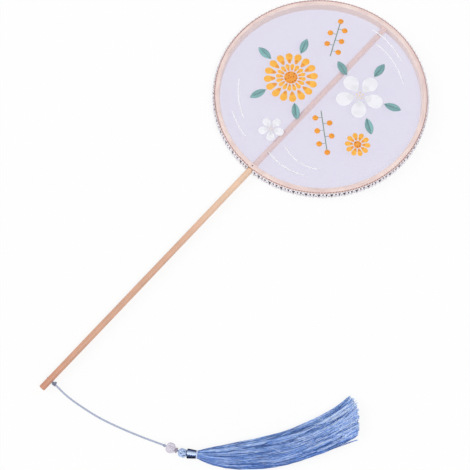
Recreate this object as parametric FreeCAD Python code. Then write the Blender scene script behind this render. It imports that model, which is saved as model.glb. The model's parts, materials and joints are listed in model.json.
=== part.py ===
"""Round gauze fan on a long rod handle, with a tassel on a cord. Millimetres.

The fan lies face up on a table. +Z is the face's normal, +Y runs up the handle to the head, and the
origin is the bottom centre of the fan's own box: hoop, trim and handle, without the cord and tassel.
"""
import FreeCAD, Part
import math
import os

Vector = FreeCAD.Vector
UP = Vector(0, 0, 1)
RIGHT = Vector(1, 0, 0)
FORWARD = Vector(0, 1, 0)
same_place = 1e-6

# Hoop: one strip bent into a ring
hoop_diameter = 210.0
hoop_wall = 5.0
hoop_depth = 10.0
hoop_edge_round = 0.8

# Rod: the handle below the hoop, and a slimmer spine behind the cloth
handle_diameter = 6.2
handle_length = 290.0
butt_round = 1.1
spine_diameter = 5.9
socket_depth = 2.5
glue_gap = 0.05

# Brad through the hoop and the spine
brad_diameter = 1.0
brad_length = 7.5
brad_head_diameter = 2.0
brad_head_height = 0.5

# Cloth over the hoop's front
gauze_thickness = 0.3

# Rim tape and the braid on it
tape_thickness = 0.35
tape_margin = 0.4
braid_crest = 1.35
braid_valley = 0.8
braid_pitch = 4.1
braid_margin = 0.6
trim_gap = 0.3

# Embroidery: the sizes of its drawing are set for a picture of drawn_radius, which fits the clear face
drawn_radius = 96.0
picture_margin = 4.0
petal_height = 0.5
leaf_height = 0.4
line_height = 0.35
knot_height = 0.8
berry_height = 1.2

# Gold flowers: a large one with two rings of petals, and a small one with one ring
petal_fill = 0.8
gold_flower_at = (-34.0, -6.0)
gold_flower_radius = 27.0
gold_ring_radius = 15.0
gold_heart_radius = 7.2
gold_petal_count = 16
small_gold_at = (62.0, -18.0)
small_gold_radius = 12.5
small_gold_heart_radius = 4.1
small_gold_petal_count = 10
gold_knot_diameter = 2.2
gold_knot_gap = 0.5

# White blossoms, a large one and a small one
blossom_at = (30.0, 24.0)
blossom_radius = 24.0
blossom_heart_radius = 4.8
stamen_diameter = 1.6
small_blossom_at = (-12.0, -61.0)
small_blossom_radius = 13.0
small_blossom_heart_radius = 2.8
small_stamen_diameter = 0.9
blossom_petal_count = 5
blossom_turn = 90.0
stamen_height = 0.4

# Leaves round the two large flowers, by their headings
leaf_length = 17.0
leaf_width = 7.5
leaf_stand_off = 2.0
leaf_vein = 0.5
gold_leaf_headings = (110.0, 175.0, 250.0, 318.0)
blossom_leaf_headings = (20.0, -35.0, 95.0, 160.0)

# Berry sprigs
sprig_feet = ((-20.0, 38.0), (12.0, -14.0))
sprig_headings = (115.0, -42.0)
sprig_stem_lengths = (38.0, 42.0)
stem_width = 1.0
stalk_width = 0.5
berry_diameter = 5.6
berry_reach = 6.6
berries_on_stem = 5

# Mist lines, each by its first, middle and last point
line_width = 1.1
mist_lines = (
    ((-72.0, -40.0), (-58.0, -57.0), (-40.0, -70.0)),
    ((-54.0, -71.0), (-40.0, -79.0), (-24.0, -84.0)),
    ((10.0, -66.0), (31.0, -70.0), (52.0, -62.0)),
    ((2.0, -81.0), (25.0, -83.0), (46.0, -76.0)),
    ((6.0, 79.0), (31.0, 75.0), (54.0, 62.0)),
    ((-8.0, 89.0), (16.0, 88.0), (38.0, 80.0)),
)

# Loop through the handle's cross hole, and the hitch knot beside it
loop_inset = 11.0
loop_hole_diameter = 1.8
loop_diameter = 1.0
loop_exit = 0.3
loop_exit_bend = 1.2
loop_under_gap = 0.1
hitch_diameter = 4.4
hitch_gap = 0.5
running_gap = 0.3

# Tassel cord: steps from the hitch knot along X and Y, and heights above the table
cord_diameter = 1.8
cord_route = (
    (8.5, -0.5, 3.6),
    (18.0, -0.4, 1.6),
    (30.0, 1.0, 1.0),
    (50.5, 4.2, 1.0),
    (69.5, 9.6, 1.0),
    (88.0, 15.7, 1.6),
    (102.5, 20.9, 3.3),
    (113.6, 25.0, 5.2),
)
bend_share = 0.45

# Pieces threaded on the cord's end
thread_heading = 19.0
stopper_diameter = 3.4
bead_diameter = 9.9
bead_length = 8.6
bead_lobes = 8
bead_lobe_depth = 0.7
bead_clearance = 0.1
spacer_diameter = 5.2
spacer_thickness = 2.0
spacer_round = 0.5

# Tassel: button knot, collar and skirt
tassel_heading = 35.0
button_diameter = 9.6
collar_diameter = 8.3
collar_length = 9.6
collar_round = 0.6
collar_bite = 0.8
neck_diameter = 6.2
binding_diameter = 8.8
binding_length = 1.2
tie_diameter = 1.6
tie_length = 8.0
skirt_length = 153.0
skirt_bend_radius = 207.5
skirt_locks = 26
lock_bulge = 0.5
table_gap = 0.25

# Skirt sections: share of its length, width and thickness
skirt_sections = (
    (0.0, 7.4, 7.6),
    (0.08, 14.5, 9.4),
    (0.2, 20.4, 9.9),
    (0.4, 27.4, 9.6),
    (0.65, 29.2, 8.6),
    (0.86, 30.2, 7.4),
    (1.0, 32.2, 6.4),
)

# Places worked out from the sizes above
hoop_radius = hoop_diameter / 2
inner_radius = hoop_radius - hoop_wall
tape_foot = hoop_radius + glue_gap
braid_foot = tape_foot + tape_thickness + glue_gap
trim_thickness = braid_foot + braid_crest - hoop_radius
overall_length = hoop_diameter + handle_length + trim_thickness
hoop_y = overall_length / 2 - trim_thickness - hoop_radius
butt_y = -overall_length / 2
rod_z = hoop_depth / 2
shoulder_y = hoop_y - hoop_radius
face_z = hoop_depth + gauze_thickness
picture_scale = (inner_radius - picture_margin) / drawn_radius
loop_y = butt_y + loop_inset
hitch = Vector(handle_diameter / 2 + hitch_gap + hitch_diameter / 2, loop_y, rod_z)


def heading(degrees):
    """Unit vector on the table at an angle from +X."""
    angle = math.radians(degrees)
    return Vector(math.cos(angle), math.sin(angle), 0)


def rod_between(start, end, diameter):
    """Round bar from one point to another."""
    run = end - start
    return Part.makeCylinder(diameter / 2, run.Length, start, run)


def ball(centre, diameter):
    """Sphere about a point."""
    return Part.makeSphere(diameter / 2, centre)


def ring(outer, inner, low, high):
    """Flat-ended ring about the hoop's axis."""
    base = Vector(0, hoop_y, low)
    return Part.makeCylinder(outer, high - low, base).cut(Part.makeCylinder(inner, high - low, base))


def circle_edges(shape, axis, place):
    """Edges of a turned solid that lie in one plane across its axis."""
    return [e for e in shape.Edges if all(abs(v.Point.dot(axis) - place) < same_place for v in e.Vertexes)]


def arc(first, middle, last):
    """Arc edge through three points."""
    return Part.Arc(first, middle, last).toShape()


def prism(edges, height):
    """Flat piece of thread, raised from its outline."""
    return Part.Face(Part.Wire(edges)).extrude(UP * height)


def lobed_wire(points, bulge, centre):
    """Closed outline of arcs over the points, each swelling out from the centre by the bulge."""
    edges = []
    for i, first in enumerate(points):
        last = points[(i + 1) % len(points)]
        middle = (first + last) * 0.5
        out = middle - centre
        edges.append(arc(first, middle + out * (bulge / out.Length), last))
    return Part.Wire(edges)


# Frame of the fan

def brad():
    """Small nail with a flush head, driven down through the hoop and the spine."""
    top = Vector(0, shoulder_y + hoop_wall / 2, hoop_depth)
    shank = rod_between(top, top - UP * brad_length, brad_diameter)
    return shank.fuse(rod_between(top, top - UP * brad_head_height, brad_head_diameter)).removeSplitter()


def spine_hole():
    """Way for the spine through the hoop's near wall and into its far wall."""
    start = Vector(0, shoulder_y - hoop_wall, rod_z)
    end = Vector(0, hoop_y + inner_radius + socket_depth, rod_z)
    return rod_between(start, end, spine_diameter + 2 * glue_gap)


def hoop():
    """Wooden ring with rounded edges, bored for the spine and the brad."""
    body = ring(hoop_radius, inner_radius, 0, hoop_depth)
    rims = circle_edges(body, UP, 0) + circle_edges(body, UP, hoop_depth)
    inner_rims = [e for e in rims if abs(e.Curve.Radius - inner_radius) < same_place]
    body = body.makeFillet(hoop_edge_round, inner_rims)
    return body.cut(spine_hole()).cut(brad())


def handle_rod():
    """Handle with a rounded butt, stepped down to the spine at the hoop's outer wall."""
    butt = Vector(0, butt_y, rod_z)
    shoulder = Vector(0, shoulder_y, rod_z)
    tip = Vector(0, hoop_y + inner_radius + socket_depth - glue_gap, rod_z)
    handle = rod_between(butt, shoulder, handle_diameter)
    handle = handle.makeFillet(butt_round, circle_edges(handle, FORWARD, butt_y))
    rod = handle.fuse(rod_between(shoulder, tip, spine_diameter))
    cross_hole = rod_between(
        Vector(-handle_diameter, loop_y, rod_z), Vector(handle_diameter, loop_y, rod_z), loop_hole_diameter
    )
    return rod.cut(cross_hole).cut(brad())


def gauze_panel():
    """Sheer cloth glued on the hoop's front face."""
    return Part.makeCylinder(hoop_radius, gauze_thickness, Vector(0, hoop_y, hoop_depth))


def handle_parting():
    """Space at the handle where the tape and the braid stop."""
    width = handle_diameter + 2 * trim_gap
    deep = hoop_wall + trim_thickness
    corner = Vector(-width / 2, shoulder_y - deep, -hoop_depth)
    return Part.makeBox(width, 2 * deep, 3 * hoop_depth, corner)


def rim_tape():
    """Thin tape round the hoop's wall, over the cloth's cut edge."""
    band = ring(tape_foot + tape_thickness, tape_foot, tape_margin, face_z)
    return band.cut(handle_parting())


def rim_braid():
    """Braid trim with one lobe for each of its plaits."""
    centre = Vector(0, hoop_y, braid_margin)
    valley = braid_foot + braid_valley
    lobes = round(2 * math.pi * valley / braid_pitch)
    step = 360.0 / lobes
    points = [centre + heading(step * i) * valley for i in range(lobes)]
    sagitta = valley * (1 - math.cos(math.radians(step / 2)))
    outline = lobed_wire(points, braid_crest - braid_valley + sagitta, centre)
    plan = Part.Face(outline)
    high = face_z - braid_margin
    body = plan.extrude(UP * high).cut(Part.makeCylinder(braid_foot, high, centre))
    return body.cut(handle_parting())


# Embroidery, drawn at its own size about the face's centre and then fitted to the clear face

def point(x, y):
    """Point of the drawing."""
    return Vector(x, y, 0)


def teardrop(foot, degrees, length, width, height):
    """Rounded petal with a pointed foot."""
    along = heading(degrees)
    across = heading(degrees + 90)
    radius = width / 2
    middle = length - radius
    half_angle = math.asin(radius / middle)
    side = math.sqrt(middle ** 2 - radius ** 2)
    left = foot + along * (side * math.cos(half_angle)) + across * (side * math.sin(half_angle))
    right = foot + along * (side * math.cos(half_angle)) - across * (side * math.sin(half_angle))
    tip = foot + along * length
    edges = [Part.makeLine(foot, right), arc(right, tip, left), Part.makeLine(left, foot)]
    return prism(edges, height)


def dome(centre, diameter, height):
    """Round knot with a spherical top."""
    radius = diameter / 2
    sphere = (radius ** 2 + height ** 2) / (2 * height)
    lean = math.atan2(radius, sphere - height) / 2
    foot = Vector(0, 0, 0)
    rim = Vector(radius, 0, 0)
    middle = Vector(sphere * math.sin(lean), 0, height - sphere * (1 - math.cos(lean)))
    top = Vector(0, 0, height)
    edges = [Part.makeLine(foot, rim), arc(rim, middle, top), Part.makeLine(top, foot)]
    body = Part.Face(Part.Wire(edges)).revolve(foot, UP, 360)
    body.translate(centre)
    return body


def stroke(first, middle, last, width, height):
    """Curved line of even width with square ends."""
    circle = Part.Arc(first, middle, last).toShape().Curve
    centre = circle.Center

    def shifted(p, out):
        away = p - centre
        return centre + away * ((away.Length + out) / away.Length)

    outer = [shifted(p, width / 2) for p in (first, middle, last)]
    inner = [shifted(p, -width / 2) for p in (last, middle, first)]
    edges = [arc(*outer), Part.makeLine(outer[2], inner[0]), arc(*inner), Part.makeLine(inner[2], outer[0])]
    return prism(edges, height)


def petal_ring(at, count, inner, outer, turn):
    """Even ring of petals, as wide as their spacing allows."""
    spread = math.sin(math.pi / count) * petal_fill
    width = 2 * spread * outer / (1 + spread)
    petals = []
    for i in range(count):
        degrees = turn + 360.0 * i / count
        foot = point(*at) + heading(degrees) * inner
        petals.append(teardrop(foot, degrees, outer - inner, width, petal_height))
    return petals


def gold_petals():
    """Two rings of petals on the large gold flower and one on the small one."""
    half_step = 180.0 / gold_petal_count
    petals = petal_ring(gold_flower_at, gold_petal_count, gold_ring_radius, gold_flower_radius, 0)
    petals += petal_ring(gold_flower_at, gold_petal_count, gold_heart_radius, gold_ring_radius, half_step)
    petals += petal_ring(small_gold_at, small_gold_petal_count, small_gold_heart_radius, small_gold_radius, 0)
    return petals


def gold_hearts():
    """Knots in the gold flowers' hearts: one, then rings of six and of twelve where there is room."""
    pitch = gold_knot_diameter + gold_knot_gap
    knots = []
    for at, rings in ((gold_flower_at, 2), (small_gold_at, 1)):
        knots.append(dome(point(*at), gold_knot_diameter, knot_height))
        for number in range(1, rings + 1):
            for i in range(6 * number):
                place = point(*at) + heading(60.0 * i / number) * (pitch * number)
                knots.append(dome(place, gold_knot_diameter, knot_height))
    return knots


def white_petals():
    """Broad petals of the two white blossoms."""
    blossoms = (
        (blossom_at, blossom_heart_radius, blossom_radius),
        (small_blossom_at, small_blossom_heart_radius, small_blossom_radius),
    )
    petals = []
    for at, inner, outer in blossoms:
        petals += petal_ring(at, blossom_petal_count, inner, outer, blossom_turn)
    return petals


def white_hearts():
    """Stamens in the white blossoms' hearts, one in the middle and one between each pair of petals."""
    hearts = (
        (blossom_at, blossom_heart_radius, stamen_diameter),
        (small_blossom_at, small_blossom_heart_radius, small_stamen_diameter),
    )
    step = 360.0 / blossom_petal_count
    knots = []
    for at, radius, diameter in hearts:
        knots.append(dome(point(*at), diameter, stamen_height))
        for i in range(blossom_petal_count):
            place = point(*at) + heading(blossom_turn + step * (i + 0.5)) * (radius - diameter)
            knots.append(dome(place, diameter, stamen_height))
    return knots


def half_leaf(foot, degrees, side):
    """One half of a leaf, beside its vein."""
    along = heading(degrees)
    across = heading(degrees + 90) * side
    first = foot + across * (leaf_vein / 2)
    last = first + along * leaf_length
    belly = first + along * (leaf_length / 2) + across * (leaf_width / 2)
    return prism([Part.makeLine(last, first), arc(first, belly, last)], leaf_height)


def leaves():
    """Pointed leaves standing out round the two large flowers."""
    halves = []
    flowers = (
        (gold_flower_at, gold_flower_radius, gold_leaf_headings),
        (blossom_at, blossom_radius, blossom_leaf_headings),
    )
    for at, radius, headings in flowers:
        for degrees in headings:
            foot = point(*at) + heading(degrees) * (radius + leaf_stand_off)
            halves += [half_leaf(foot, degrees, side) for side in (1, -1)]
    return halves


def sprig_places(foot, degrees, length):
    """Stem places and berry centres of one sprig, side by side up the stem and one at its tip."""
    along = heading(degrees)
    across = heading(degrees + 90)
    places = []
    for i in range(berries_on_stem):
        side = 1 if i % 2 else -1
        root = foot + along * (length * (i + 1) / (berries_on_stem + 1))
        places.append((root + across * (side * stem_width / 2), root + across * (side * berry_reach)))
    tip = foot + along * length
    places.append((tip, tip + along * (berry_diameter / 2)))
    return places


def sprig_stems():
    """Stems of the berry sprigs, with a short stalk out to each side berry."""
    pieces = []
    for at, degrees, length in zip(sprig_feet, sprig_headings, sprig_stem_lengths):
        foot = point(*at)
        across = heading(degrees + 90) * (stem_width / 2)
        tip = foot + heading(degrees) * length
        corners = [foot - across, tip - across, tip + across, foot + across, foot - across]
        pieces.append(Part.Face(Part.makePolygon(corners)).extrude(UP * line_height))
        for root, berry in sprig_places(foot, degrees, length)[:-1]:
            reach = berry - root
            end = root + reach * (1 - berry_diameter / 2 / reach.Length)
            half = heading(degrees) * (stalk_width / 2)
            corners = [root - half, end - half, end + half, root + half, root - half]
            pieces.append(Part.Face(Part.makePolygon(corners)).extrude(UP * line_height))
    return pieces


def berries():
    """Round satin-stitched berries."""
    pieces = []
    for at, degrees, length in zip(sprig_feet, sprig_headings, sprig_stem_lengths):
        for root, berry in sprig_places(point(*at), degrees, length):
            pieces.append(dome(berry, berry_diameter, berry_height))
    return pieces


def mist():
    """Thin curved lines of stitching."""
    return [stroke(*[point(*p) for p in line], line_width, line_height) for line in mist_lines]


def on_face(pieces):
    """Embroidery pieces as one shape, fitted to the clear face and laid on the cloth."""
    shape = Part.makeCompound(pieces)
    shape.scale(picture_scale)
    shape.translate(Vector(0, hoop_y, face_z))
    return shape


# Cord and tassel

def swept(path, diameter):
    """Round tube along a wire."""
    edge = path.OrderedEdges[0]
    start = edge.valueAt(edge.FirstParameter)
    along = edge.tangentAt(edge.FirstParameter)
    section = Part.Wire(Part.makeCircle(diameter / 2, start, along))
    return path.makePipeShell([section], True, False)


def quarter_turn(centre, radius, start_degrees, end_degrees):
    """Arc of the loop in the plane across the handle, by its angles from +X towards +Z."""
    middle_degrees = (start_degrees + end_degrees) / 2
    ends = []
    for degrees in (start_degrees, middle_degrees, end_degrees):
        angle = math.radians(degrees)
        ends.append(centre + RIGHT * (radius * math.cos(angle)) + UP * (radius * math.sin(angle)))
    return arc(*ends)


def handle_loop():
    """Thin cord through the cross hole and back under the handle, both ends at the hitch knot."""
    out = handle_diameter / 2 + loop_exit
    low = rod_z - handle_diameter / 2 - loop_under_gap - loop_diameter / 2
    bend_z = rod_z - loop_exit_bend
    under_bend = bend_z - low
    flat = out + loop_exit_bend - under_bend
    start = Vector(hitch.x, loop_y, rod_z)
    path = Part.Wire(
        [
            Part.makeLine(start, Vector(-out, loop_y, rod_z)),
            quarter_turn(Vector(-out, loop_y, bend_z), loop_exit_bend, 90, 180),
            quarter_turn(Vector(-flat, loop_y, bend_z), under_bend, 180, 270),
            Part.makeLine(Vector(-flat, loop_y, low), Vector(flat, loop_y, low)),
            quarter_turn(Vector(flat, loop_y, bend_z), under_bend, 270, 360),
        ]
    )
    return swept(path, loop_diameter).cut(ball(hitch, hitch_diameter + 2 * running_gap))


def rounded_path(points):
    """Straight runs joined by tangent arcs as large as the runs allow, and the arcs' radii."""
    edges = []
    radii = []
    last = points[0]
    for before, corner, after in zip(points, points[1:], points[2:]):
        back = before - corner
        ahead = after - corner
        reach = bend_share * min(back.Length, ahead.Length)
        back.normalize()
        ahead.normalize()
        turn = math.pi - back.getAngle(ahead)
        radius = reach / math.tan(turn / 2)
        inward = back + ahead
        inward.normalize()
        sagitta = radius * (1 / math.cos(turn / 2) - 1)
        first = corner + back * reach
        second = corner + ahead * reach
        edges.append(Part.makeLine(last, first))
        edges.append(arc(first, corner + inward * sagitta, second))
        radii.append(radius)
        last = second
    edges.append(Part.makeLine(last, points[-1]))
    return Part.Wire(edges), radii


def cord_points():
    """Cord's route from the hitch knot to the stopper knot."""
    return [hitch] + [Vector(hitch.x + x, hitch.y + y, z) for x, y, z in cord_route]


stopper = cord_points()[-1]
thread_axis = heading(thread_heading)
tassel_axis = heading(tassel_heading)
bead = stopper + thread_axis * (stopper_diameter / 2 + running_gap + bead_length / 2)
spacer = bead + thread_axis * (bead_length / 2 + running_gap + spacer_thickness / 2)
button = spacer + thread_axis * (spacer_thickness / 2 + running_gap + button_diameter / 2)
collar_start = button + tassel_axis * (button_diameter / 2 - collar_bite)
collar_end = collar_start + tassel_axis * collar_length


def tassel_cord():
    """Cord lying on the table, from the hitch knot to the stopper knot."""
    path, radii = rounded_path(cord_points())
    tube = swept(path, cord_diameter)
    section = math.pi * cord_diameter ** 2 / 4
    print("cord radii", [round(r, 1) for r in radii], "length", round(path.Length, 1))
    print("cord volume over section times length", round(tube.Volume / (section * path.Length), 4))
    return tube.cut(ball(hitch, hitch_diameter + 2 * running_gap)).cut(ball(stopper, stopper_diameter))


def cord_core():
    """Straight end of the cord, from the stopper knot to just short of the button knot."""
    core = rod_between(stopper, button, cord_diameter)
    return core.cut(ball(stopper, stopper_diameter)).cut(ball(button, button_diameter + 2 * running_gap))


def spacer_ring():
    """Small round-edged ring, fast on the cord below the bead."""
    half = thread_axis * (spacer_thickness / 2)
    disc = rod_between(spacer - half, spacer + half, spacer_diameter)
    rims = [e for e in disc.Edges if e.Closed]
    disc = disc.makeFillet(spacer_round, rims)
    return disc.cut(rod_between(spacer - half, spacer + half, cord_diameter))


def flower_bead():
    """Lobed bead with a bore that turns on the cord."""
    across = thread_axis.cross(UP)
    start = bead - thread_axis * (bead_length / 2)
    valley = bead_diameter / 2 - bead_lobe_depth
    points = []
    for i in range(bead_lobes):
        angle = 2 * math.pi * i / bead_lobes
        points.append(start + across * (valley * math.cos(angle)) + UP * (valley * math.sin(angle)))
    chord_rise = valley * (1 - math.cos(math.pi / bead_lobes))
    outline = lobed_wire(points, bead_lobe_depth + chord_rise, start)
    body = Part.Face(outline).extrude(thread_axis * bead_length)
    body = body.common(ball(bead, bead_diameter + 2 * bead_clearance))
    end = start + thread_axis * bead_length
    return body.cut(rod_between(start, end, cord_diameter + 2 * bead_clearance))


def tassel_tie():
    """End of the cord tied inside the tassel's neck."""
    start = button
    end = button + tassel_axis * (button_diameter / 2 + tie_length)
    return rod_between(start, end, tie_diameter).cut(ball(button, button_diameter))


def collar_wrap():
    """Satin thread wound round the tassel's neck, hollow for the neck."""
    end = collar_end - tassel_axis * binding_length
    sleeve = rod_between(collar_start, end, collar_diameter)
    sleeve = sleeve.makeFillet(collar_round, [e for e in sleeve.Edges if e.Closed])
    return sleeve.cut(rod_between(collar_start, end, neck_diameter)).cut(ball(button, button_diameter))


def collar_binding():
    """Narrow ring of pale thread at the collar's lower end."""
    start = collar_end - tassel_axis * binding_length
    band = rod_between(start, collar_end, binding_diameter)
    return band.cut(rod_between(start, collar_end, neck_diameter))


def skirt_outline(share, width, thickness):
    """Cross-section of the skirt, with one lobe for each lock of threads.

    Threads of one length reach less far round the outside of the bend, so the section is turned back from
    square by the arctangent of its lean, and is wider along that slant.
    """
    lean = skirt_length * share / skirt_bend_radius
    turn = lean - math.atan(lean)
    slant_width = width * math.hypot(1, lean)
    side = tassel_axis.cross(UP)
    centre = collar_end + tassel_axis * (skirt_bend_radius * math.sin(lean))
    centre = centre - side * (skirt_bend_radius * (1 - math.cos(lean)))
    across = side * math.cos(turn) + tassel_axis * math.sin(turn)
    if share > 0:
        centre.z = thickness / 2 + lock_bulge + table_gap
    points = []
    for i in range(skirt_locks):
        angle = 2 * math.pi * i / skirt_locks
        outward = across * (slant_width / 2 * math.cos(angle)) + UP * (thickness / 2 * math.sin(angle))
        points.append(centre + outward)
    return lobed_wire(points, lock_bulge, centre)


def tassel_skirt():
    """Hank of loose threads: a neck inside the collar, then a flaring skirt that curves along the table."""
    body = Part.makeLoft([skirt_outline(*section) for section in skirt_sections], True, False)
    neck = rod_between(button, collar_end, neck_diameter).cut(ball(button, button_diameter))
    tie_space = rod_between(button, button + tassel_axis * (button_diameter / 2 + tie_length), tie_diameter)
    return body.fuse(neck).cut(tie_space)


def build():
    """Every piece by its name."""
    return {
        "hoop": hoop(),
        "handle_rod": handle_rod(),
        "rod_brad": brad(),
        "gauze_panel": gauze_panel(),
        "rim_tape": rim_tape(),
        "rim_braid": rim_braid(),
        "gold_petals": on_face(gold_petals()),
        "gold_hearts": on_face(gold_hearts()),
        "white_petals": on_face(white_petals()),
        "white_hearts": on_face(white_hearts()),
        "leaves": on_face(leaves()),
        "sprig_stems": on_face(sprig_stems()),
        "berries": on_face(berries()),
        "mist_lines": on_face(mist()),
        "handle_loop": handle_loop(),
        "hitch_knot": ball(hitch, hitch_diameter),
        "tassel_cord": tassel_cord(),
        "stopper_knot": ball(stopper, stopper_diameter),
        "cord_core": cord_core(),
        "flower_bead": flower_bead(),
        "spacer_ring": spacer_ring(),
        "button_knot": ball(button, button_diameter),
        "tassel_tie": tassel_tie(),
        "collar_wrap": collar_wrap(),
        "collar_binding": collar_binding(),
        "tassel_skirt": tassel_skirt(),
    }


def main():
    os.makedirs("parts", exist_ok=True)
    for name, shape in build().items():
        shape.exportStep("parts/" + name + ".step")
        print(name, "solids", len(shape.Solids), "volume", round(shape.Volume, 1), "valid", shape.isValid())
    print("overall", overall_length, "hoop centre y", hoop_y, "hitch", hitch)
    print("stopper", stopper, "bead", bead, "button", button, "collar end", collar_end)


main()
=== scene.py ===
"""Round gauze fan on a long rod handle, with a tassel on a cord, dressed over its solids. Metres."""

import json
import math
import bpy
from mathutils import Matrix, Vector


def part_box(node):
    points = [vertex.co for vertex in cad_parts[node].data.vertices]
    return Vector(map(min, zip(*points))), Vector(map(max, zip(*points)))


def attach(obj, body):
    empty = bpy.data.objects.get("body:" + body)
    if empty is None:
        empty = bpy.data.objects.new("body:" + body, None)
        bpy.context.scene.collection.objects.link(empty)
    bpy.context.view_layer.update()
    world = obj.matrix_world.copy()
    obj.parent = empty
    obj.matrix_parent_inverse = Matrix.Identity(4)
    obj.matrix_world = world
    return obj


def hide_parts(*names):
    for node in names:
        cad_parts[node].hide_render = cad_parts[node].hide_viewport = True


bl_info = {
    "name": "Round Gauze Fan",
    "version": (1, 0, 0),
    "blender": (4, 5, 0),
    "location": "View3D > Sidebar > Fan",
    "description": "Makes the visible pieces of a round gauze fan with a corded tassel",
    "category": "Add Mesh",
}

import bpy
import numpy as np
from bpy.props import FloatProperty, FloatVectorProperty, IntProperty, PointerProperty
from bpy.types import Operator, Panel, PropertyGroup
from mathutils import Matrix

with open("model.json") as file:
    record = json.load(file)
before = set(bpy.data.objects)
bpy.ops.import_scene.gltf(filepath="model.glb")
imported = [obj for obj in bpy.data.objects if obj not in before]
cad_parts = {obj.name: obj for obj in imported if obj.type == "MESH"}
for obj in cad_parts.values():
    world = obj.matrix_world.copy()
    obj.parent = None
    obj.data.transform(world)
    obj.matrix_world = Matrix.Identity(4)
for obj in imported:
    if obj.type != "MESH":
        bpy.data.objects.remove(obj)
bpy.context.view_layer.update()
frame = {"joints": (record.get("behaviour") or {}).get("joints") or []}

# Places that come from the frame
JOINTS = {joint["name"]: joint for joint in frame["joints"]}
HITCH = np.array(JOINTS["cord_swing"]["pos_m"])
BEAD = np.array(JOINTS["bead_spin"]["pos_m"])
BUTTON = np.array(JOINTS["tassel_bend"]["pos_m"])
THREAD_AXIS = np.array(JOINTS["bead_spin"]["axis"])
HOOP_LOW, HOOP_HIGH = (np.array(corner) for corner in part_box("hoop"))
HOOP_RADIUS = (HOOP_HIGH[1] - HOOP_LOW[1]) / 2
HOOP_DEPTH = HOOP_HIGH[2]
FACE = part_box("gauze_panel")[1].z
FACE_CENTRE = np.array([0.0, (HOOP_LOW[1] + HOOP_HIGH[1]) / 2, FACE])
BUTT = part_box("handle_rod")[0].y
SPINE_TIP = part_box("handle_rod")[1].y
BRAD_LOW, BRAD_HIGH = (np.array(corner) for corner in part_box("rod_brad"))
UP = np.array([0.0, 0.0, 1.0])
FORWARD = np.array([0.0, 1.0, 0.0])
TURN = 2 * math.pi

# Places of the embroidery about the face's centre
GOLD_FLOWER = (-0.034, -0.006)
SMALL_GOLD = (0.062, -0.018)
BLOSSOM = (0.030, 0.024)
SMALL_BLOSSOM = (-0.012, -0.061)
GOLD_LEAVES = (110, 175, 250, 318)
BLOSSOM_LEAVES = (20, -35, 95, 160)
SPRIG_FEET = ((-0.020, 0.038), (0.012, -0.014))
SPRIG_HEADINGS = (115, -42)
SPRIG_LENGTHS = (0.038, 0.042)
MIST_LINES = (
    ((-0.072, -0.040), (-0.058, -0.057), (-0.040, -0.070)),
    ((-0.054, -0.071), (-0.040, -0.079), (-0.024, -0.084)),
    ((0.010, -0.066), (0.031, -0.070), (0.052, -0.062)),
    ((0.002, -0.081), (0.025, -0.083), (0.046, -0.076)),
    ((0.006, 0.079), (0.031, 0.075), (0.054, 0.062)),
    ((-0.008, 0.089), (0.016, 0.088), (0.038, 0.080)),
)

# Cord's route: steps from the hitch knot along X and Y, and heights above the table
CORD_ROUTE = (
    (0.0085, -0.0005, 0.0036),
    (0.0180, -0.0004, 0.0016),
    (0.0300, 0.0010, 0.0010),
    (0.0505, 0.0042, 0.0010),
    (0.0695, 0.0096, 0.0010),
    (0.0880, 0.0157, 0.0016),
    (0.1025, 0.0209, 0.0033),
    (0.1136, 0.0250, 0.0052),
)


def srgb(red, green, blue):
    """Linear colour from display values of 0 to 255."""
    share = np.array([red, green, blue]) / 255
    linear = np.where(share <= 0.04045, share / 12.92, ((share + 0.055) / 1.055) ** 2.4)
    return tuple(float(value) for value in linear)


def size(name, default, description):
    """Length property in metres."""
    return FloatProperty(name=name, default=default, description=description, unit="LENGTH", precision=5)


def count(name, default, description):
    """Number of like things."""
    return IntProperty(name=name, default=default, description=description, min=1)


def colour(name, display, description):
    """Colour property from display values of 0 to 255."""
    default = srgb(*display)
    return FloatVectorProperty(
        name=name, default=default, description=description, subtype="COLOR", min=0, max=1
    )


def angle_of(name, degrees, description):
    """Angle property from degrees."""
    return FloatProperty(name=name, default=math.radians(degrees), description=description, subtype="ANGLE")


def plain_number(name, default, description):
    """Number without a unit."""
    return FloatProperty(name=name, default=default, description=description)


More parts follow.
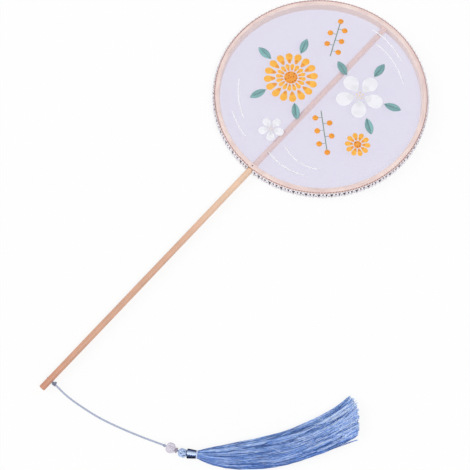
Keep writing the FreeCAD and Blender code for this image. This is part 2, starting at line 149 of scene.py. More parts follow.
class FanSizes(PropertyGroup):
    """Sizes of the hoop, the rod, the cloth and the rim's trim."""

    hoop_wall: size("Hoop wall", 0.005, "Thickness of the bent strip")
    hoop_edge: size("Hoop edge", 0.0008, "Rounding of the strip's edges")
    handle_diameter: size("Handle", 0.0062, "Diameter of the handle")
    spine_diameter: size("Spine", 0.0059, "Diameter of the rod behind the cloth")
    butt_round: size("Butt rounding", 0.0011, "Rounding of the handle's butt")
    cross_hole: size("Cross hole", 0.0018, "Diameter of the hole for the loop")
    weave_pitch: size("Weave pitch", 0.00045, "Distance from thread to thread of the cloth")
    glue_gap: size("Glue gap", 0.00005, "Space for glue under the trim")
    tape_thickness: size("Tape", 0.00035, "Thickness of the tape under the braid")
    tape_margin: size("Tape margin", 0.0004, "Bare edge of the hoop below the tape")
    tape_rib: size("Tape rib", 0.0028, "Distance from rib to rib of the tape")
    trim_gap: size("Trim gap", 0.0003, "Space between the trim's ends and the handle")
    braid_thickness: size("Braid", 0.0021, "Thickness of the braid with its ribbon")
    braid_wave: size("Braid wave", 0.0041, "Length of one wave of the braid's cord")
    braid_height: size("Braid height", 0.0082, "Height of the waves of the braid's cord")
    braid_strand: size("Braid cord", 0.0014, "Width of the braid's cord")
    braid_drop: size("Braid drop", 0.0011, "Bare tape above the braid's cord")
    ribbon_thickness: size("Ribbon", 0.0003, "Thickness of the ribbons under the braid's cord")
    piping_thickness: size("Piping", 0.0006, "Thickness of the high white ribbon")
    ribbon_low: size("Ribbon foot", 0.0005, "Height where the low white ribbon starts")
    dark_low: size("Dark ribbon foot", 0.0011, "Height where the dark ribbon starts")
    dark_high: size("Dark ribbon top", 0.0076, "Height where the dark ribbon ends")
    ribbon_high: size("Ribbon top", 0.0090, "Height where the high white ribbon ends")


class StitchSizes(PropertyGroup):
    """Sizes of the embroidery."""

    thread_width: size("Thread", 0.00056, "Width of a stitched thread")
    petal_height: size("Petal height", 0.0005, "Height of a petal over the cloth")
    petal_fill: plain_number("Petal fill", 0.8, "Share of a ring that petals take up")
    gold_radius: size("Gold flower", 0.027, "Radius of the large gold flower")
    gold_ring: size("Gold inner ring", 0.015, "Radius of its inner ring of petals")
    gold_heart: size("Gold heart", 0.0072, "Radius of its heart")
    gold_petals: count("Gold petals", 16, "Petals in each of its rings")
    small_gold_radius: size("Small gold flower", 0.0125, "Radius of the small gold flower")
    small_gold_heart: size("Small gold heart", 0.0041, "Radius of its heart")
    small_gold_petals: count("Small gold petals", 10, "Petals in its ring")
    gold_knot: size("Gold knot", 0.0022, "Diameter of a knot in a gold heart")
    gold_knot_gap: size("Gold knot gap", 0.0005, "Space between knots")
    knot_height: size("Knot height", 0.0008, "Height of a knot over the cloth")
    blossom_radius: size("Blossom", 0.024, "Radius of the large white blossom")
    blossom_heart: size("Blossom heart", 0.0048, "Radius of its heart")
    stamen: size("Stamen", 0.0016, "Diameter of its stamens")
    small_blossom_radius: size("Small blossom", 0.013, "Radius of the small white blossom")
    small_blossom_heart: size("Small blossom heart", 0.0028, "Radius of its heart")
    small_stamen: size("Small stamen", 0.0009, "Diameter of its stamens")
    stamen_height: size("Stamen height", 0.0004, "Height of a stamen over the cloth")
    blossom_petals: count("Blossom petals", 5, "Petals of a white blossom")
    leaf_length: size("Leaf length", 0.017, "Length of a leaf")
    leaf_width: size("Leaf width", 0.0075, "Width of a leaf")
    leaf_vein: size("Leaf vein", 0.0005, "Space between a leaf's halves")
    leaf_stand_off: size("Leaf stand-off", 0.002, "Space between a flower and its leaves")
    leaf_height: size("Leaf height", 0.0004, "Height of a leaf over the cloth")
    berry: size("Berry", 0.0056, "Diameter of a berry")
    berry_height: size("Berry height", 0.0012, "Height of a berry over the cloth")
    berry_reach: size("Berry reach", 0.0066, "Distance of a side berry from its stem")
    berries_on_stem: count("Side berries", 5, "Berries beside one stem")
    stem_width: size("Stem", 0.001, "Width of a sprig's stem")
    stalk_width: size("Stalk", 0.0005, "Width of a berry's stalk")
    line_width: size("Mist line", 0.0015, "Width of a mist line")
    line_height: size("Line height", 0.00035, "Height of stems and lines over the cloth")
    line_stitch: size("Line stitch", 0.0042, "Length of one stitch of a line")


class TasselSizes(PropertyGroup):
    """Sizes of the loop, the cord and the tassel."""

    loop_diameter: size("Loop", 0.0009, "Diameter of the loop's cord")
    loop_exit: size("Loop exit", 0.00002, "Straight stretch of the loop out of its hole")
    loop_bend: size("Loop bend", 0.0005, "Radius of the loop's bend out of its hole")
    loop_under_gap: size("Loop gap", 0.0001, "Space between the loop and the handle's underside")
    hitch_diameter: size("Hitch knot", 0.0052, "Diameter of the knot beside the handle")
    cord_diameter: size("Cord", 0.0018, "Diameter of the tassel's cord")
    cord_length: size("Cord length", 0.1178, "Length of the cord from knot to knot")
    cord_lay: size("Cord lay", 0.0036, "Length of one turn of the cord's plies")
    stopper_diameter: size("Stopper knot", 0.0034, "Diameter of the knot above the bead")
    bead_diameter: size("Bead", 0.0099, "Diameter of the lobed bead")
    bead_length: size("Bead length", 0.0086, "Length of the bead along the cord")
    bead_lobes: count("Bead lobes", 8, "Lobes round the bead")
    bead_lobe_depth: size("Bead lobe depth", 0.0010, "Depth of the grooves between lobes")
    bead_clearance: size("Bead clearance", 0.0001, "Space between the bead's bore and the cord")
    spacer_diameter: size("Spacer", 0.0052, "Diameter of the ring below the bead")
    spacer_thickness: size("Spacer thickness", 0.0020, "Thickness of the ring below the bead")
    running_gap: size("Running gap", 0.0003, "Space between pieces threaded on the cord")
    button_diameter: size("Button knot", 0.0096, "Diameter of the woven ball knot")
    tassel_heading: angle_of("Tassel heading", 35, "Angle from +X on the table")
    collar_bite: size("Collar bite", 0.0008, "Depth of the button knot in the collar")
    collar_diameter: size("Collar", 0.0083, "Diameter of the wound collar at its middle")
    collar_taper: size("Collar taper", 0.0016, "Diameter that the collar loses towards the skirt")
    collar_length: size("Collar length", 0.0096, "Length of the wound collar with its binding")
    collar_turns: count("Collar turns", 17, "Turns of thread on the collar")
    binding_diameter: size("Binding", 0.0078, "Diameter of the collar's pale binding")
    binding_length: size("Binding length", 0.0012, "Width of the collar's pale binding")
    tie_diameter: size("Tie", 0.0016, "Diameter of the cord's end inside the neck")
    tie_length: size("Tie length", 0.008, "Length of the cord's end inside the neck")
    skirt_length: size("Skirt length", 0.153, "Length of the loose threads")
    skirt_bend: size("Skirt bend", 0.2075, "Radius of the skirt's curve on the table")
    skirt_strands: count("Skirt strands", 380, "Strands that the threads gather into")
    strand_threads: count("Strand threads", 5, "Threads in one strand")
    thread_diameter: size("Loose thread", 0.00042, "Diameter of a loose thread")
    neck_width: size("Neck width", 0.0066, "Width of the skirt at the collar")
    belly_width: size("Belly width", 0.0236, "Width that the skirt gains below the collar")
    flare_width: size("Flare width", 0.0030, "Width that the skirt gains at its fringe")
    belly_thickness: size("Belly thickness", 0.0042, "Thickness that the skirt gains below the collar")
    fringe_thinning: size("Fringe thinning", 0.0038, "Thickness that the skirt loses towards its fringe")
    table_gap: size("Table gap", 0.00075, "Space between the skirt's underside and the table")


class FanColours(PropertyGroup):
    """Colours of the fan's pieces."""

    hoop: colour("Hoop", (250, 225, 209), "Pale bent wood")
    # The handle's wood at its butt. The handle is mixed paler towards its head.
    rod: colour("Rod", (201, 140, 113), "Warm wood of the handle where the hand darkens it")
    # Painted light: this paler colour lifts the hoop's inner wall out of its shade.
    hoop_inside_painted_light: colour("Hoop inside", (255, 237, 210), "Paler inner wall of the hoop")
    # Painted light: this paler colour brightens the spine behind the cloth.
    spine: colour("Spine", (255, 232, 204), "Paler wood of the rod behind the cloth")
    brad: colour("Brad", (150, 126, 116), "Dull steel")
    gauze: colour("Gauze", (158, 142, 210), "Sheer lavender-white cloth")
    tape: colour("Tape", (194, 160, 150), "Brown rim tape")
    braid: colour("Braid", (238, 234, 240), "White braided cord")
    ribbon: colour("Ribbon", (66, 56, 68), "Dark ribbon under the braid")
    gold: colour("Gold", (250, 184, 72), "Gold satin thread")
    amber: colour("Amber", (226, 122, 30), "Deep orange knots")
    white: colour("White", (240, 240, 246), "White satin thread")
    yellow: colour("Yellow", (246, 206, 96), "Stamens")
    teal: colour("Teal", (122, 166, 168), "Leaves")
    stem: colour("Stem", (112, 140, 128), "Stems")
    orange: colour("Orange", (248, 160, 44), "Berries")
    cord: colour("Cord", (172, 181, 206), "Grey-blue cord")
    bead: colour("Bead", (212, 206, 220), "Milky lavender bead")
    spacer: colour("Spacer", (150, 136, 156), "Grey-purple ring")
    knot: colour("Knot", (168, 190, 228), "Pale blue knot")
    satin: colour("Satin", (104, 120, 160), "Blue satin winding")
    # Painted shade at the collar's sides and a painted highlight on its top and underside use these two
    # colours.
    satin_painted_shade: colour("Deep satin", (22, 29, 54), "Darkest of the winding")
    satin_painted_highlight: colour("Light satin", (212, 228, 252), "Palest of the winding")
    binding: colour("Binding", (206, 218, 242), "Pale binding thread")
    skirt: colour("Skirt", (131, 172, 236), "Blue loose threads")
    skirt_deep: colour("Deep skirt", (56, 88, 154), "Darkest of the loose threads")
    skirt_light: colour("Light skirt", (218, 233, 255), "Palest of the loose threads")


class StageSizes(PropertyGroup):
    """Camera and floor."""

    azimuth: angle_of("Azimuth", 41.53, "Camera's turn about +Z")
    elevation: angle_of("Elevation", 70.17, "Camera's angle over the table")
    distance: size("Distance", 1.2851, "Camera's distance from the face's centre, along its view")
    aim_right: size("Aim right", 0.08488, "Distance of the face's centre right of the picture's middle")
    aim_up: size("Aim up", 0.13939, "Distance of the face's centre above the picture's middle")
    lens: plain_number("Lens", 99.574, "Focal length in mm on a 36 mm sensor")
    floor: size("Floor", 4.0, "Side of the square floor")


# Lamps: name, direction to the right, away and up as the camera sees it, strength, and width in degrees
LAMPS = (
    ("soft_key", (0.45, -0.5, 1.1), 1.0, 22),
    ("side_fill", (-1.1, 0.1, 0.8), 0.9, 35),
)


# Grids, tubes and paths

def grid_quads(rows, columns, close_rows=False, close_columns=False):
    """Four-sided faces of a grid of points, joined round either way where asked."""
    row = np.arange(rows if close_rows else rows - 1)[:, None]
    column = np.arange(columns if close_columns else columns - 1)[None, :]
    next_row = (row + 1) % rows
    next_column = (column + 1) % columns
    corners = (
        row * columns + column,
        row * columns + next_column,
        next_row * columns + next_column,
        next_row * columns + column,
    )
    return np.stack(np.broadcast_arrays(*corners), -1).reshape(-1, 4)


def capped(points):
    """Closed shells of points[shell, ring, around, xyz]: each grid is joined round its rings, and fans to
    the means of its first and last ring close the ends. Gives vertices, quads and triangles."""
    shells, rings, around, _ = points.shape
    size_of_one = rings * around + 2
    ends = points[:, [0, -1]].mean(axis=2)
    vertices = np.concatenate([points.reshape(shells, -1, 3), ends], axis=1).reshape(-1, 3)
    here = np.arange(around)
    after = (here + 1) % around
    last = (rings - 1) * around
    first_fan = np.stack([after, here, np.full(around, size_of_one - 2)], 1)
    last_fan = np.stack([last + here, last + after, np.full(around, size_of_one - 1)], 1)
    shift = (np.arange(shells) * size_of_one)[:, None, None]
    quads = (grid_quads(rings, around, close_columns=True) + shift).reshape(-1, 4)
    fans = (np.concatenate([first_fan, last_fan]) + shift).reshape(-1, 3)
    return vertices, quads, fans


def capped_values(values, points):
    """Values for the vertices that capped makes: spread over each grid, and a mean at each end."""
    spread = np.broadcast_to(values, points.shape[:3])
    ends = spread[:, [0, -1]].mean(axis=2)
    return np.concatenate([spread.reshape(len(points), -1), ends], axis=1).ravel()


def endless(points):
    """Closed shells of points[shell, ring, around, xyz] joined round both ways, as a ring or a knot is."""
    shells, rings, around, _ = points.shape
    shift = (np.arange(shells) * rings * around)[:, None, None]
    quads = (grid_quads(rings, around, True, True) + shift).reshape(-1, 4)
    return points.reshape(-1, 3), quads, np.zeros((0, 3), int)


def joined(*shapes):
    """Several (vertices, quads, triangles) as one."""
    starts = np.cumsum([0] + [len(shape[0]) for shape in shapes[:-1]])
    vertices = np.concatenate([shape[0] for shape in shapes])
    quads = np.concatenate([shape[1] + start for shape, start in zip(shapes, starts)])
    triangles = np.concatenate([shape[2] + start for shape, start in zip(shapes, starts)])
    return vertices, quads, triangles


def unit(vectors):
    """Vectors at length one."""
    return vectors / np.linalg.norm(vectors, axis=-1, keepdims=True)


def even_angles(steps):
    """Angles of even steps round a circle, from zero."""
    return np.arange(steps) * TURN / steps


def path_frame(path, reference, closed=False):
    """Unit direction of path[..., point, xyz] by central differences, the side square to it and to the
    reference, and the rise square to both."""
    if closed:
        along = unit(np.roll(path, -1, axis=-2) - np.roll(path, 1, axis=-2))
    else:
        along = unit(np.gradient(path, axis=-2))
    side = unit(np.cross(np.broadcast_to(reference, path.shape), along))
    return along, side, np.cross(along, side)


def tube(path, outline, reference, closed=False):
    """Outline[..., around, (side, rise)] carried along path[..., point, xyz], square to it."""
    _, side, rise = path_frame(path, reference, closed)
    outline = np.broadcast_to(outline, path.shape[:-1] + outline.shape[-2:])
    aside = outline[..., :1] * side[..., None, :]
    upward = outline[..., 1:] * rise[..., None, :]
    return path[..., None, :] + aside + upward


def oval(wide, high, around):
    """Outline of an ellipse by its half sizes: cosine across, sine up."""
    angle = even_angles(around)
    return np.stack([wide * np.cos(angle), high * np.sin(angle)], -1)


def rounded_box(width, height, edge, steps):
    """Outline of a rounded rectangle: each corner's centre plus its edge radius, turned a quarter."""
    angle = (np.arange(4 * steps) + 0.5) * TURN / (4 * steps)
    across = (width / 2 - edge) * np.sign(np.cos(angle)) + edge * np.cos(angle)
    upward = (height / 2 - edge) * np.sign(np.sin(angle)) + edge * np.sin(angle)
    return np.stack([across, upward], -1)


def circle(centre, radius, angles, first=(1.0, 0.0, 0.0), second=(0.0, 1.0, 0.0)):
    """Points on a circle: cosine along its first direction and sine along its second."""
    across = np.cos(angles)[:, None] * np.array(first)
    upward = np.sin(angles)[:, None] * np.array(second)
    return centre + radius * (across + upward)


def path_lengths(path):
    """Distance along path[point, xyz] at each point."""
    return np.concatenate([[0.0], np.cumsum(np.linalg.norm(np.diff(path, axis=0), axis=1))])


def at_lengths(path, lengths, places):
    """Points of path[point, xyz] at places along it, straight between its own points."""
    return np.stack([np.interp(places, lengths, path[:, axis]) for axis in range(3)], -1)


def even_path(path, spacing):
    """Path[point, xyz] at even spacing."""
    lengths = path_lengths(path)
    places = np.linspace(0, lengths[-1], max(int(lengths[-1] / spacing), 3) + 1)
    return at_lengths(path, lengths, places)


def plies(path, diameter, lay, reference, around=10):
    """Twisted cord on path[point, xyz]: three tubes on helices round it, a third of a turn apart, one turn
    in each lay, each three tenths of the cord thick from its middle."""
    ply = diameter * 0.3
    _, side, rise = path_frame(path, reference)
    turn = path_lengths(path) * TURN / lay + even_angles(3)[:, None]
    swing = diameter / 2 - ply
    helix = path + swing * (np.cos(turn)[..., None] * side + np.sin(turn)[..., None] * rise)
    return tube(helix, oval(ply, ply, around), reference)


def laid_ridges(around, phase):
    """Two ridges that slant round a laid thread: a half plus half the cosine of twice the angle round it
    less the phase of each point along it."""
    return 0.5 + 0.5 * np.cos(2 * even_angles(around) - phase[:, None])


def rope(path, width, height, lay, reference, around=10):
    """Tube on path[point, xyz] that swells in two slanting ridges, as a laid thread does. Gives its
    points, and the swell of each as a value from 0 to 1."""
    swell = laid_ridges(around, path_lengths(path) * TURN / lay)
    outline = oval(width / 2, height / 2, around) * (0.8 + 0.2 * swell[..., None])
    return tube(path, outline, reference)[None], swell[None]


def heading(angle):
    """Level unit vectors at angles from +X."""
    return np.stack([np.cos(angle), np.sin(angle), np.zeros_like(angle)], -1)


def on_face(place):
    """Point of the embroidery on the cloth, by its distance right of and above the face's centre."""
    return FACE_CENTRE + np.array([*place, 0.0])


def set_out(centre, headings, local):
    """Local points[point, (along, left)] set out from a centre at each heading: array[heading, point,
    xyz]."""
    along = heading(np.asarray(headings, float))[:, None]
    left = np.cross(UP, along)
    return centre + local[None, :, :1] * along + local[None, :, 1:] * left


def put(name, shape, material, body, nodes, values=None, sharp=50):
    """New piece from (vertices, quads, triangles), riding on its body in place of its nodes."""
    vertices, quads, triangles = shape
    mesh = bpy.data.meshes.new(name)
    mesh.from_pydata(vertices.tolist(), [], quads.tolist() + triangles.tolist())
    for key, array in (values or {}).items():
        kind, field = ("FLOAT", "value") if array.ndim == 1 else ("FLOAT_VECTOR", "vector")
        layer = mesh.attributes.new(key, kind, "POINT")
        layer.data.foreach_set(field, np.ascontiguousarray(array, np.float32).ravel())
    mesh.shade_smooth()
    mesh.set_sharp_from_angle(angle=math.radians(sharp))
    mesh.materials.append(material)
    piece = bpy.data.objects.new(name, mesh)
    bpy.context.scene.collection.objects.link(piece)
    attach(piece, body)
    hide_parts(*nodes)
    return piece


# Materials

def finish(name, base, roughness, **sockets):
    """Principled material with even values on its sockets. Gives the material, its tree and shader."""
    material = bpy.data.materials.new(name)
    material.use_nodes = True
    shader = material.node_tree.nodes["Principled BSDF"]
    shader.inputs["Base Color"].default_value = (*base, 1.0)
    shader.inputs["Roughness"].default_value = roughness
    for key, value in sockets.items():
        shader.inputs[key.replace("_", " ")].default_value = value
    return material, material.node_tree, shader


def node(tree, kind, inputs, output, **settings):
    """New node with its settings, its inputs set or linked. Gives one of its outputs."""
    made = tree.nodes.new(kind)
    for key, value in settings.items():
        setattr(made, key, value)
    for key, value in inputs.items():
        if isinstance(value, bpy.types.NodeSocket):
            tree.links.new(value, made.inputs[key])
        else:
            made.inputs[key].default_value = value
    return made.outputs[output]


def sum_of(tree, operation, *values):
    """One Math node on two or three values."""
    return node(tree, "ShaderNodeMath", dict(enumerate(values)), "Value", operation=operation)


def noise(tree, vector, scale, detail, stretch=(1.0, 1.0, 1.0)):
    """Noise, drawn out by a stretch of its coordinates."""
    mapped = node(tree, "ShaderNodeMapping", {"Vector": vector, "Scale": stretch}, "Vector")
    return node(tree, "ShaderNodeTexNoise", {"Vector": mapped, "Scale": scale, "Detail": detail}, "Fac")


def ramp(tree, factor, stops):
    """Colour ramp of (place, colour) stops."""
    output = node(tree, "ShaderNodeValToRGB", {"Fac": factor}, "Color")
    elements = output.node.color_ramp.elements
    while len(elements) < len(stops):
        elements.new(0.5)
    for element, (place, shade) in zip(elements, stops):
        element.position = place
        element.color = (*shade, 1.0)
    return output


def relief(tree, shader, height, depth):
    """Fine relief on a shader, its depth in metres."""
    normal = node(tree, "ShaderNodeBump", {"Height": height, "Distance": depth}, "Normal")
    tree.links.new(normal, shader.inputs["Normal"])


def tinted(base, factor):
    """Colour made darker or paler, kept between black and white."""
    return tuple(min(max(channel * factor, 0.0), 1.0) for channel in base)


def own_place(tree):
    """The piece's own coordinates."""
    return node(tree, "ShaderNodeTexCoord", {}, "Object")


def attribute(tree, name, output="Fac"):
    """The piece's own point attribute."""
    return node(tree, "ShaderNodeAttribute", {}, output, attribute_name=name)


def wood(name, base, stretch, grain=None, unpolished=None):
    """Sanded wood: long soft streaks and short dark pores along the grain, which is an attribute or an
    axis, and broad soft patches. An attribute may mix in a paler colour: painted light on the hoop's
    inner wall and on the spine, and a paler tone towards the handle's head."""
    gloss = {"Specular_IOR_Level": 0.5, "Coat_Weight": 0.2, "Coat_Roughness": 0.3}
    material, tree, shader = finish(name, base, 0.45, **gloss)
    vector = attribute(tree, grain, "Vector") if grain else own_place(tree)
    streaks = noise(tree, vector, scale=700.0, detail=5.0, stretch=stretch)
    pores = noise(tree, vector, scale=3000.0, detail=2.0, stretch=stretch)
    patches = noise(tree, own_place(tree), scale=85.0, detail=1.0)
    fine = sum_of(tree, "MULTIPLY_ADD", pores, 0.3, sum_of(tree, "MULTIPLY", streaks, 0.45))
    mixed = sum_of(tree, "MULTIPLY_ADD", patches, 0.25, fine)
    tones = ((0.36, 0.66), (0.45, 0.9), (0.53, 1.0), (0.62, 1.15))
    grained = ramp(tree, mixed, [(place, tinted(base, tone)) for place, tone in tones])
    # The paler colour is painted light where the hoop's inner wall and the rod's spine take it.
    if unpolished:
        pale_stops = [(0.3, tinted(unpolished, 0.96)), (0.52, unpolished)]
        sockets = {0: attribute(tree, "unpolished"), 6: grained, 7: ramp(tree, mixed, pale_stops)}
        grained = node(tree, "ShaderNodeMix", sockets, 2, data_type="RGBA")
    tree.links.new(grained, shader.inputs["Base Color"])
    rough = sum_of(tree, "MULTIPLY_ADD", mixed, -0.3, 0.6)
    tree.links.new(rough, shader.inputs["Roughness"])
    relief(tree, shader, mixed, depth=0.00015)
    return material


def thread(name, base, roughness=0.4, dark=0.55, pale=1.2, fibre=2400.0, deep=None, light=None,
           depth=0.00006, tone_and_painted_sheen=0.3, lie=None, **sockets):
    """Silky thread: its shade attribute runs from dark to pale, or from a deep to a light colour of its
    own, broken by fine fibres, or by painted sheen in streaks along the lie of its threads, which is an
    attribute."""
    sockets = {"Sheen_Weight": 0.2, "Sheen_Roughness": 0.4, **sockets}
    material, tree, shader = finish(name, base, roughness, **sockets)
    place = attribute(tree, lie, "Vector") if lie else own_place(tree)
    fibres = noise(tree, place, scale=fibre, detail=3.0)
    # Weight of the fibres' noise: fine tone on most threads, and painted sheen in streaks on the skirt's
    # threads.
    shade = sum_of(tree, "MULTIPLY_ADD", attribute(tree, "shade"), 0.75, 0.15 - tone_and_painted_sheen / 2)
    uneven = sum_of(tree, "MULTIPLY_ADD", fibres, tone_and_painted_sheen, shade)
    stops = [(0.12, deep or tinted(base, dark)), (0.52, base), (0.92, light or tinted(base, pale))]
    tree.links.new(ramp(tree, uneven, stops), shader.inputs["Base Color"])
    relief(tree, shader, fibres, depth)
    return material


def gauze_cloth(name, base, pitch):
    """Sheer plain weave: two crossed sets of threads with gaps between, clearer where glue wets them."""
    gap_cover = 0.21
    thread_cover = 0.21
    glue_clears = 0.55
    material, tree, shader = finish(name, base, 0.6, Sheen_Weight=0.15, Specular_IOR_Level=0.25)
    place = own_place(tree)
    parts = node(tree, "ShaderNodeSeparateXYZ", {"Vector": place}, "X").node.outputs

    def one_set(axis):
        """Square of a sine across one set of threads."""
        wave = sum_of(tree, "SINE", sum_of(tree, "MULTIPLY", parts[axis], math.pi / pitch))
        return sum_of(tree, "POWER", wave, 2.0)

    weave = sum_of(tree, "MAXIMUM", one_set("X"), one_set("Y"))
    clouds = noise(tree, place, scale=60.0, detail=3.0)
    stops = [(0.3, tinted(base, 0.98)), (0.7, tinted(base, 1.02))]
    tree.links.new(ramp(tree, clouds, stops), shader.inputs["Base Color"])
    cover = sum_of(tree, "MULTIPLY_ADD", weave, thread_cover, gap_cover)
    wetted = sum_of(tree, "MULTIPLY_ADD", attribute(tree, "glued"), -glue_clears, 1.0)
    tree.links.new(sum_of(tree, "MULTIPLY", cover, wetted), shader.inputs["Alpha"])
    relief(tree, shader, weave, depth=0.00008)
    return material


def clouded(name, base, roughness, scale, **sockets):
    """Polished hard material with soft clouds of its own colour and a faintly uneven gloss."""
    material, tree, shader = finish(name, base, roughness, **sockets)
    clouds = noise(tree, own_place(tree), scale, detail=4.0)
    stops = [(0.3, tinted(base, 0.82)), (0.5, base), (0.7, tinted(base, 1.1))]
    tree.links.new(ramp(tree, clouds, stops), shader.inputs["Base Color"])
    uneven = sum_of(tree, "MULTIPLY_ADD", clouds, 0.2, roughness - 0.1)
    tree.links.new(uneven, shader.inputs["Roughness"])
    return material


# Frame of the fan

class FAN_OT_hoop(Operator):
    """Bent hoop with rounded edges and its grain along the bend"""

    bl_idname = "fan.hoop"
    bl_label = "Hoop"

    def execute(self, context):
        sizes = context.scene.fan_sizes
        colours = context.scene.fan_colours
        middle = HOOP_RADIUS - sizes.hoop_wall / 2
        angles = even_angles(288)
        path = circle(FACE_CENTRE * (1, 1, 0) + UP * HOOP_DEPTH / 2, middle, angles)
        outline = rounded_box(sizes.hoop_wall, HOOP_DEPTH, sizes.hoop_edge, 4)
        points = tube(path, outline, UP, closed=True)[None]
        along = np.minimum(angles, TURN - angles)[:, None] * middle
        grain = np.stack(np.broadcast_arrays(along, outline[:, 0], outline[:, 1]), -1).reshape(-1, 3)
        # The inner wall takes the paler colour: painted light.
        inner = np.tile(outline[:, 0] > sizes.hoop_wall / 2 - sizes.hoop_edge / 2, len(angles))
        timber = wood("hoop_wood", colours.hoop, (0.025, 1.0, 1.0), "grain", colours.hoop_inside_painted_light)
        values = {"grain": grain, "unpolished": inner * 1.0}
        put("bent_hoop", endless(points), timber, "fan", ["hoop"], values, sharp=40)
        return {"FINISHED"}


class FAN_OT_handle(Operator):
    """Turned rod with its butt, cross hole and slimmer spine, and the brad through hoop and spine"""

    bl_idname = "fan.handle"
    bl_label = "Handle"

    def execute(self, context):
        sizes = context.scene.fan_sizes
        colours = context.scene.fan_colours
        shoulder = HOOP_LOW[1]
        self.rod(sizes, colours, shoulder)
        self.brad(colours)
        return {"FINISHED"}

    def rod(self, sizes, colours, shoulder):
        """Circles along +Y: a quarter round at the butt, a slight hand-sanded wobble, a groove and a step
        to the spine, and a dent on each side that falls away inside the cross hole's radius. The wood
        grows paler from the butt as an exponential and near the head as a smooth step, up to the spine.
        The spine behind the cloth takes the paler colour almost fully, palest at its sides, as painted
        light."""
        handle = sizes.handle_diameter / 2
        spine = sizes.spine_diameter / 2
        edge = sizes.butt_round
        hole_reach = 1.4 * sizes.cross_hole
        hole_step = 0.00012
        hole_depth = 0.0014
        hole_wall = 0.16
        groove_depth = 0.0012
        wobble = 0.00005
        butt_fade = 0.045
        head_start = shoulder - 0.075
        head_fade = 0.018
        quarter = np.linspace(0, math.pi / 2, 7)
        near_hole = np.arange(HITCH[1] - hole_reach, HITCH[1] + hole_reach, hole_step)
        body = np.linspace(near_hole[-1] + 0.0005, shoulder - 0.0009, 60)
        groove = shoulder - np.array([0.0008, 0.0006, 0.00001])
        plain = np.linspace(BUTT + 0.002, near_hole[0], 12, endpoint=False)
        butt = np.concatenate([BUTT + edge * (1 - np.cos(quarter)), plain])
        spine_run = np.linspace(shoulder + 0.00002, SPINE_TIP, 40)
        along = np.concatenate([butt, near_hole, body, groove, spine_run])
        rounding = np.concatenate([edge * (1 - np.sin(quarter)), np.zeros(len(along) - len(quarter))])
        radius = np.where(along <= shoulder, handle, spine) - rounding
        radius = radius - groove_depth * np.isin(along, groove[1:])
        radius = radius + wobble * np.sin(along * 61) * np.sin(along * 23)
        angle = even_angles(192)
        outline = oval(1.0, 1.0, len(angle)) * radius[:, None, None]
        away = np.hypot(along[:, None] - HITCH[1], handle * np.sin(angle)) / (sizes.cross_hole / 2)
        dent = np.clip(1.12 - away, 0, hole_wall) / hole_wall * hole_depth
        outline = outline * (1 - dent / handle)[..., None]
        path = np.stack([np.zeros_like(along), along, np.full_like(along, HITCH[2])], -1)
        points = tube(path, outline, UP)[None]
        off_butt = 0.24 * (1 - np.exp((BUTT - along) / butt_fade))
        near_head = 0.33 / (1 + np.exp((head_start - along) / head_fade))
        # Paler from the butt and near the head. The code gives no cause for it.
        held = off_butt + near_head
        # The spine takes the paler colour almost fully, palest at its sides: painted light behind the
        # cloth.
        paleness_and_painted_light = np.where((along > shoulder)[:, None], 0.88 + 0.12 * np.cos(angle) ** 4, held[:, None])
        values = {"unpolished": capped_values(paleness_and_painted_light[None], points)}
        timber = wood("rod_wood", colours.rod, (1.0, 0.025, 1.0), unpolished=colours.spine)
        put("sanded_rod", capped(points), timber, "fan", ["handle_rod"], values, sharp=40)

    def brad(self, colours):
        """Low dome: circles shrinking as a cosine while they rise as a sine, over a straight shank."""
        foot = (BRAD_LOW + BRAD_HIGH) / 2 * (1, 1, 0)
        head = (BRAD_HIGH[0] - BRAD_LOW[0]) / 2
        shank = head / 2
        sunk = 0.0001
        dome = 0.0002
        rise = np.linspace(0.02, 1, 8)[:-1] * math.pi / 2
        radius = np.concatenate([[shank, shank, head], head * np.cos(rise)])
        levels = [BRAD_LOW[2], HOOP_DEPTH - 0.0005, HOOP_DEPTH - 0.0004]
        height = np.concatenate([levels, HOOP_DEPTH - sunk + dome * np.sin(rise)])
        outline = oval(1.0, 1.0, 20) * radius[:, None, None]
        points = tube(foot + height[:, None] * UP, outline, FORWARD)[None]
        steel = clouded("brad_steel", colours.brad, 0.45, 2500.0, Metallic=0.8)
        put("flush_brad", capped(points), steel, "fan", ["rod_brad"])


class FAN_OT_gauze(Operator):
    """Sheer cloth stretched over the hoop's front and glued to it"""

    bl_idname = "fan.gauze"
    bl_label = "Gauze"

    def execute(self, context):
        """Rings of points from the middle to the rim, pulled faintly at the hoop in low radial waves."""
        sizes = context.scene.fan_sizes
        colours = context.scene.fan_colours
        around = 240
        sunk = 0.00012
        deepest_pull = 0.00008
        wetted = 0.0008
        inner = HOOP_RADIUS - sizes.hoop_wall
        free = np.linspace(0.004, inner, 30)
        held = np.linspace(inner + 0.0005, HOOP_RADIUS, 7)
        radii = np.concatenate([free, held])
        angles = even_angles(around)
        waves = np.sin(31 * angles) * np.sin(12 * angles + 1.0)
        pull = deepest_pull * (radii / inner) ** 3 * (radii < inner)
        height = pull[:, None] * waves - sunk
        points = radii[:, None, None] * heading(angles) + FACE_CENTRE + height[..., None] * UP
        vertices = np.concatenate([points.reshape(-1, 3), [FACE_CENTRE - sunk * UP]])
        here = np.arange(around)
        centre_fan = np.stack([here, (here + 1) % around, np.full(around, len(vertices) - 1)], 1)
        quads = grid_quads(len(radii), around, close_columns=True)[:, ::-1]
        glued = np.repeat(np.clip((radii - inner) / wetted, 0, 1), around)
        cloth = gauze_cloth("gauze", colours.gauze, sizes.weave_pitch)
        values = {"glued": np.append(glued, 0.0)}
        shape = (vertices, quads, centre_fan)
        gauze = put("gauze_sheet", shape, cloth, "fan", ["gauze_panel"], values)
        gauze.visible_shadow = False
        gauze.visible_diffuse = False
        return {"FINISHED"}


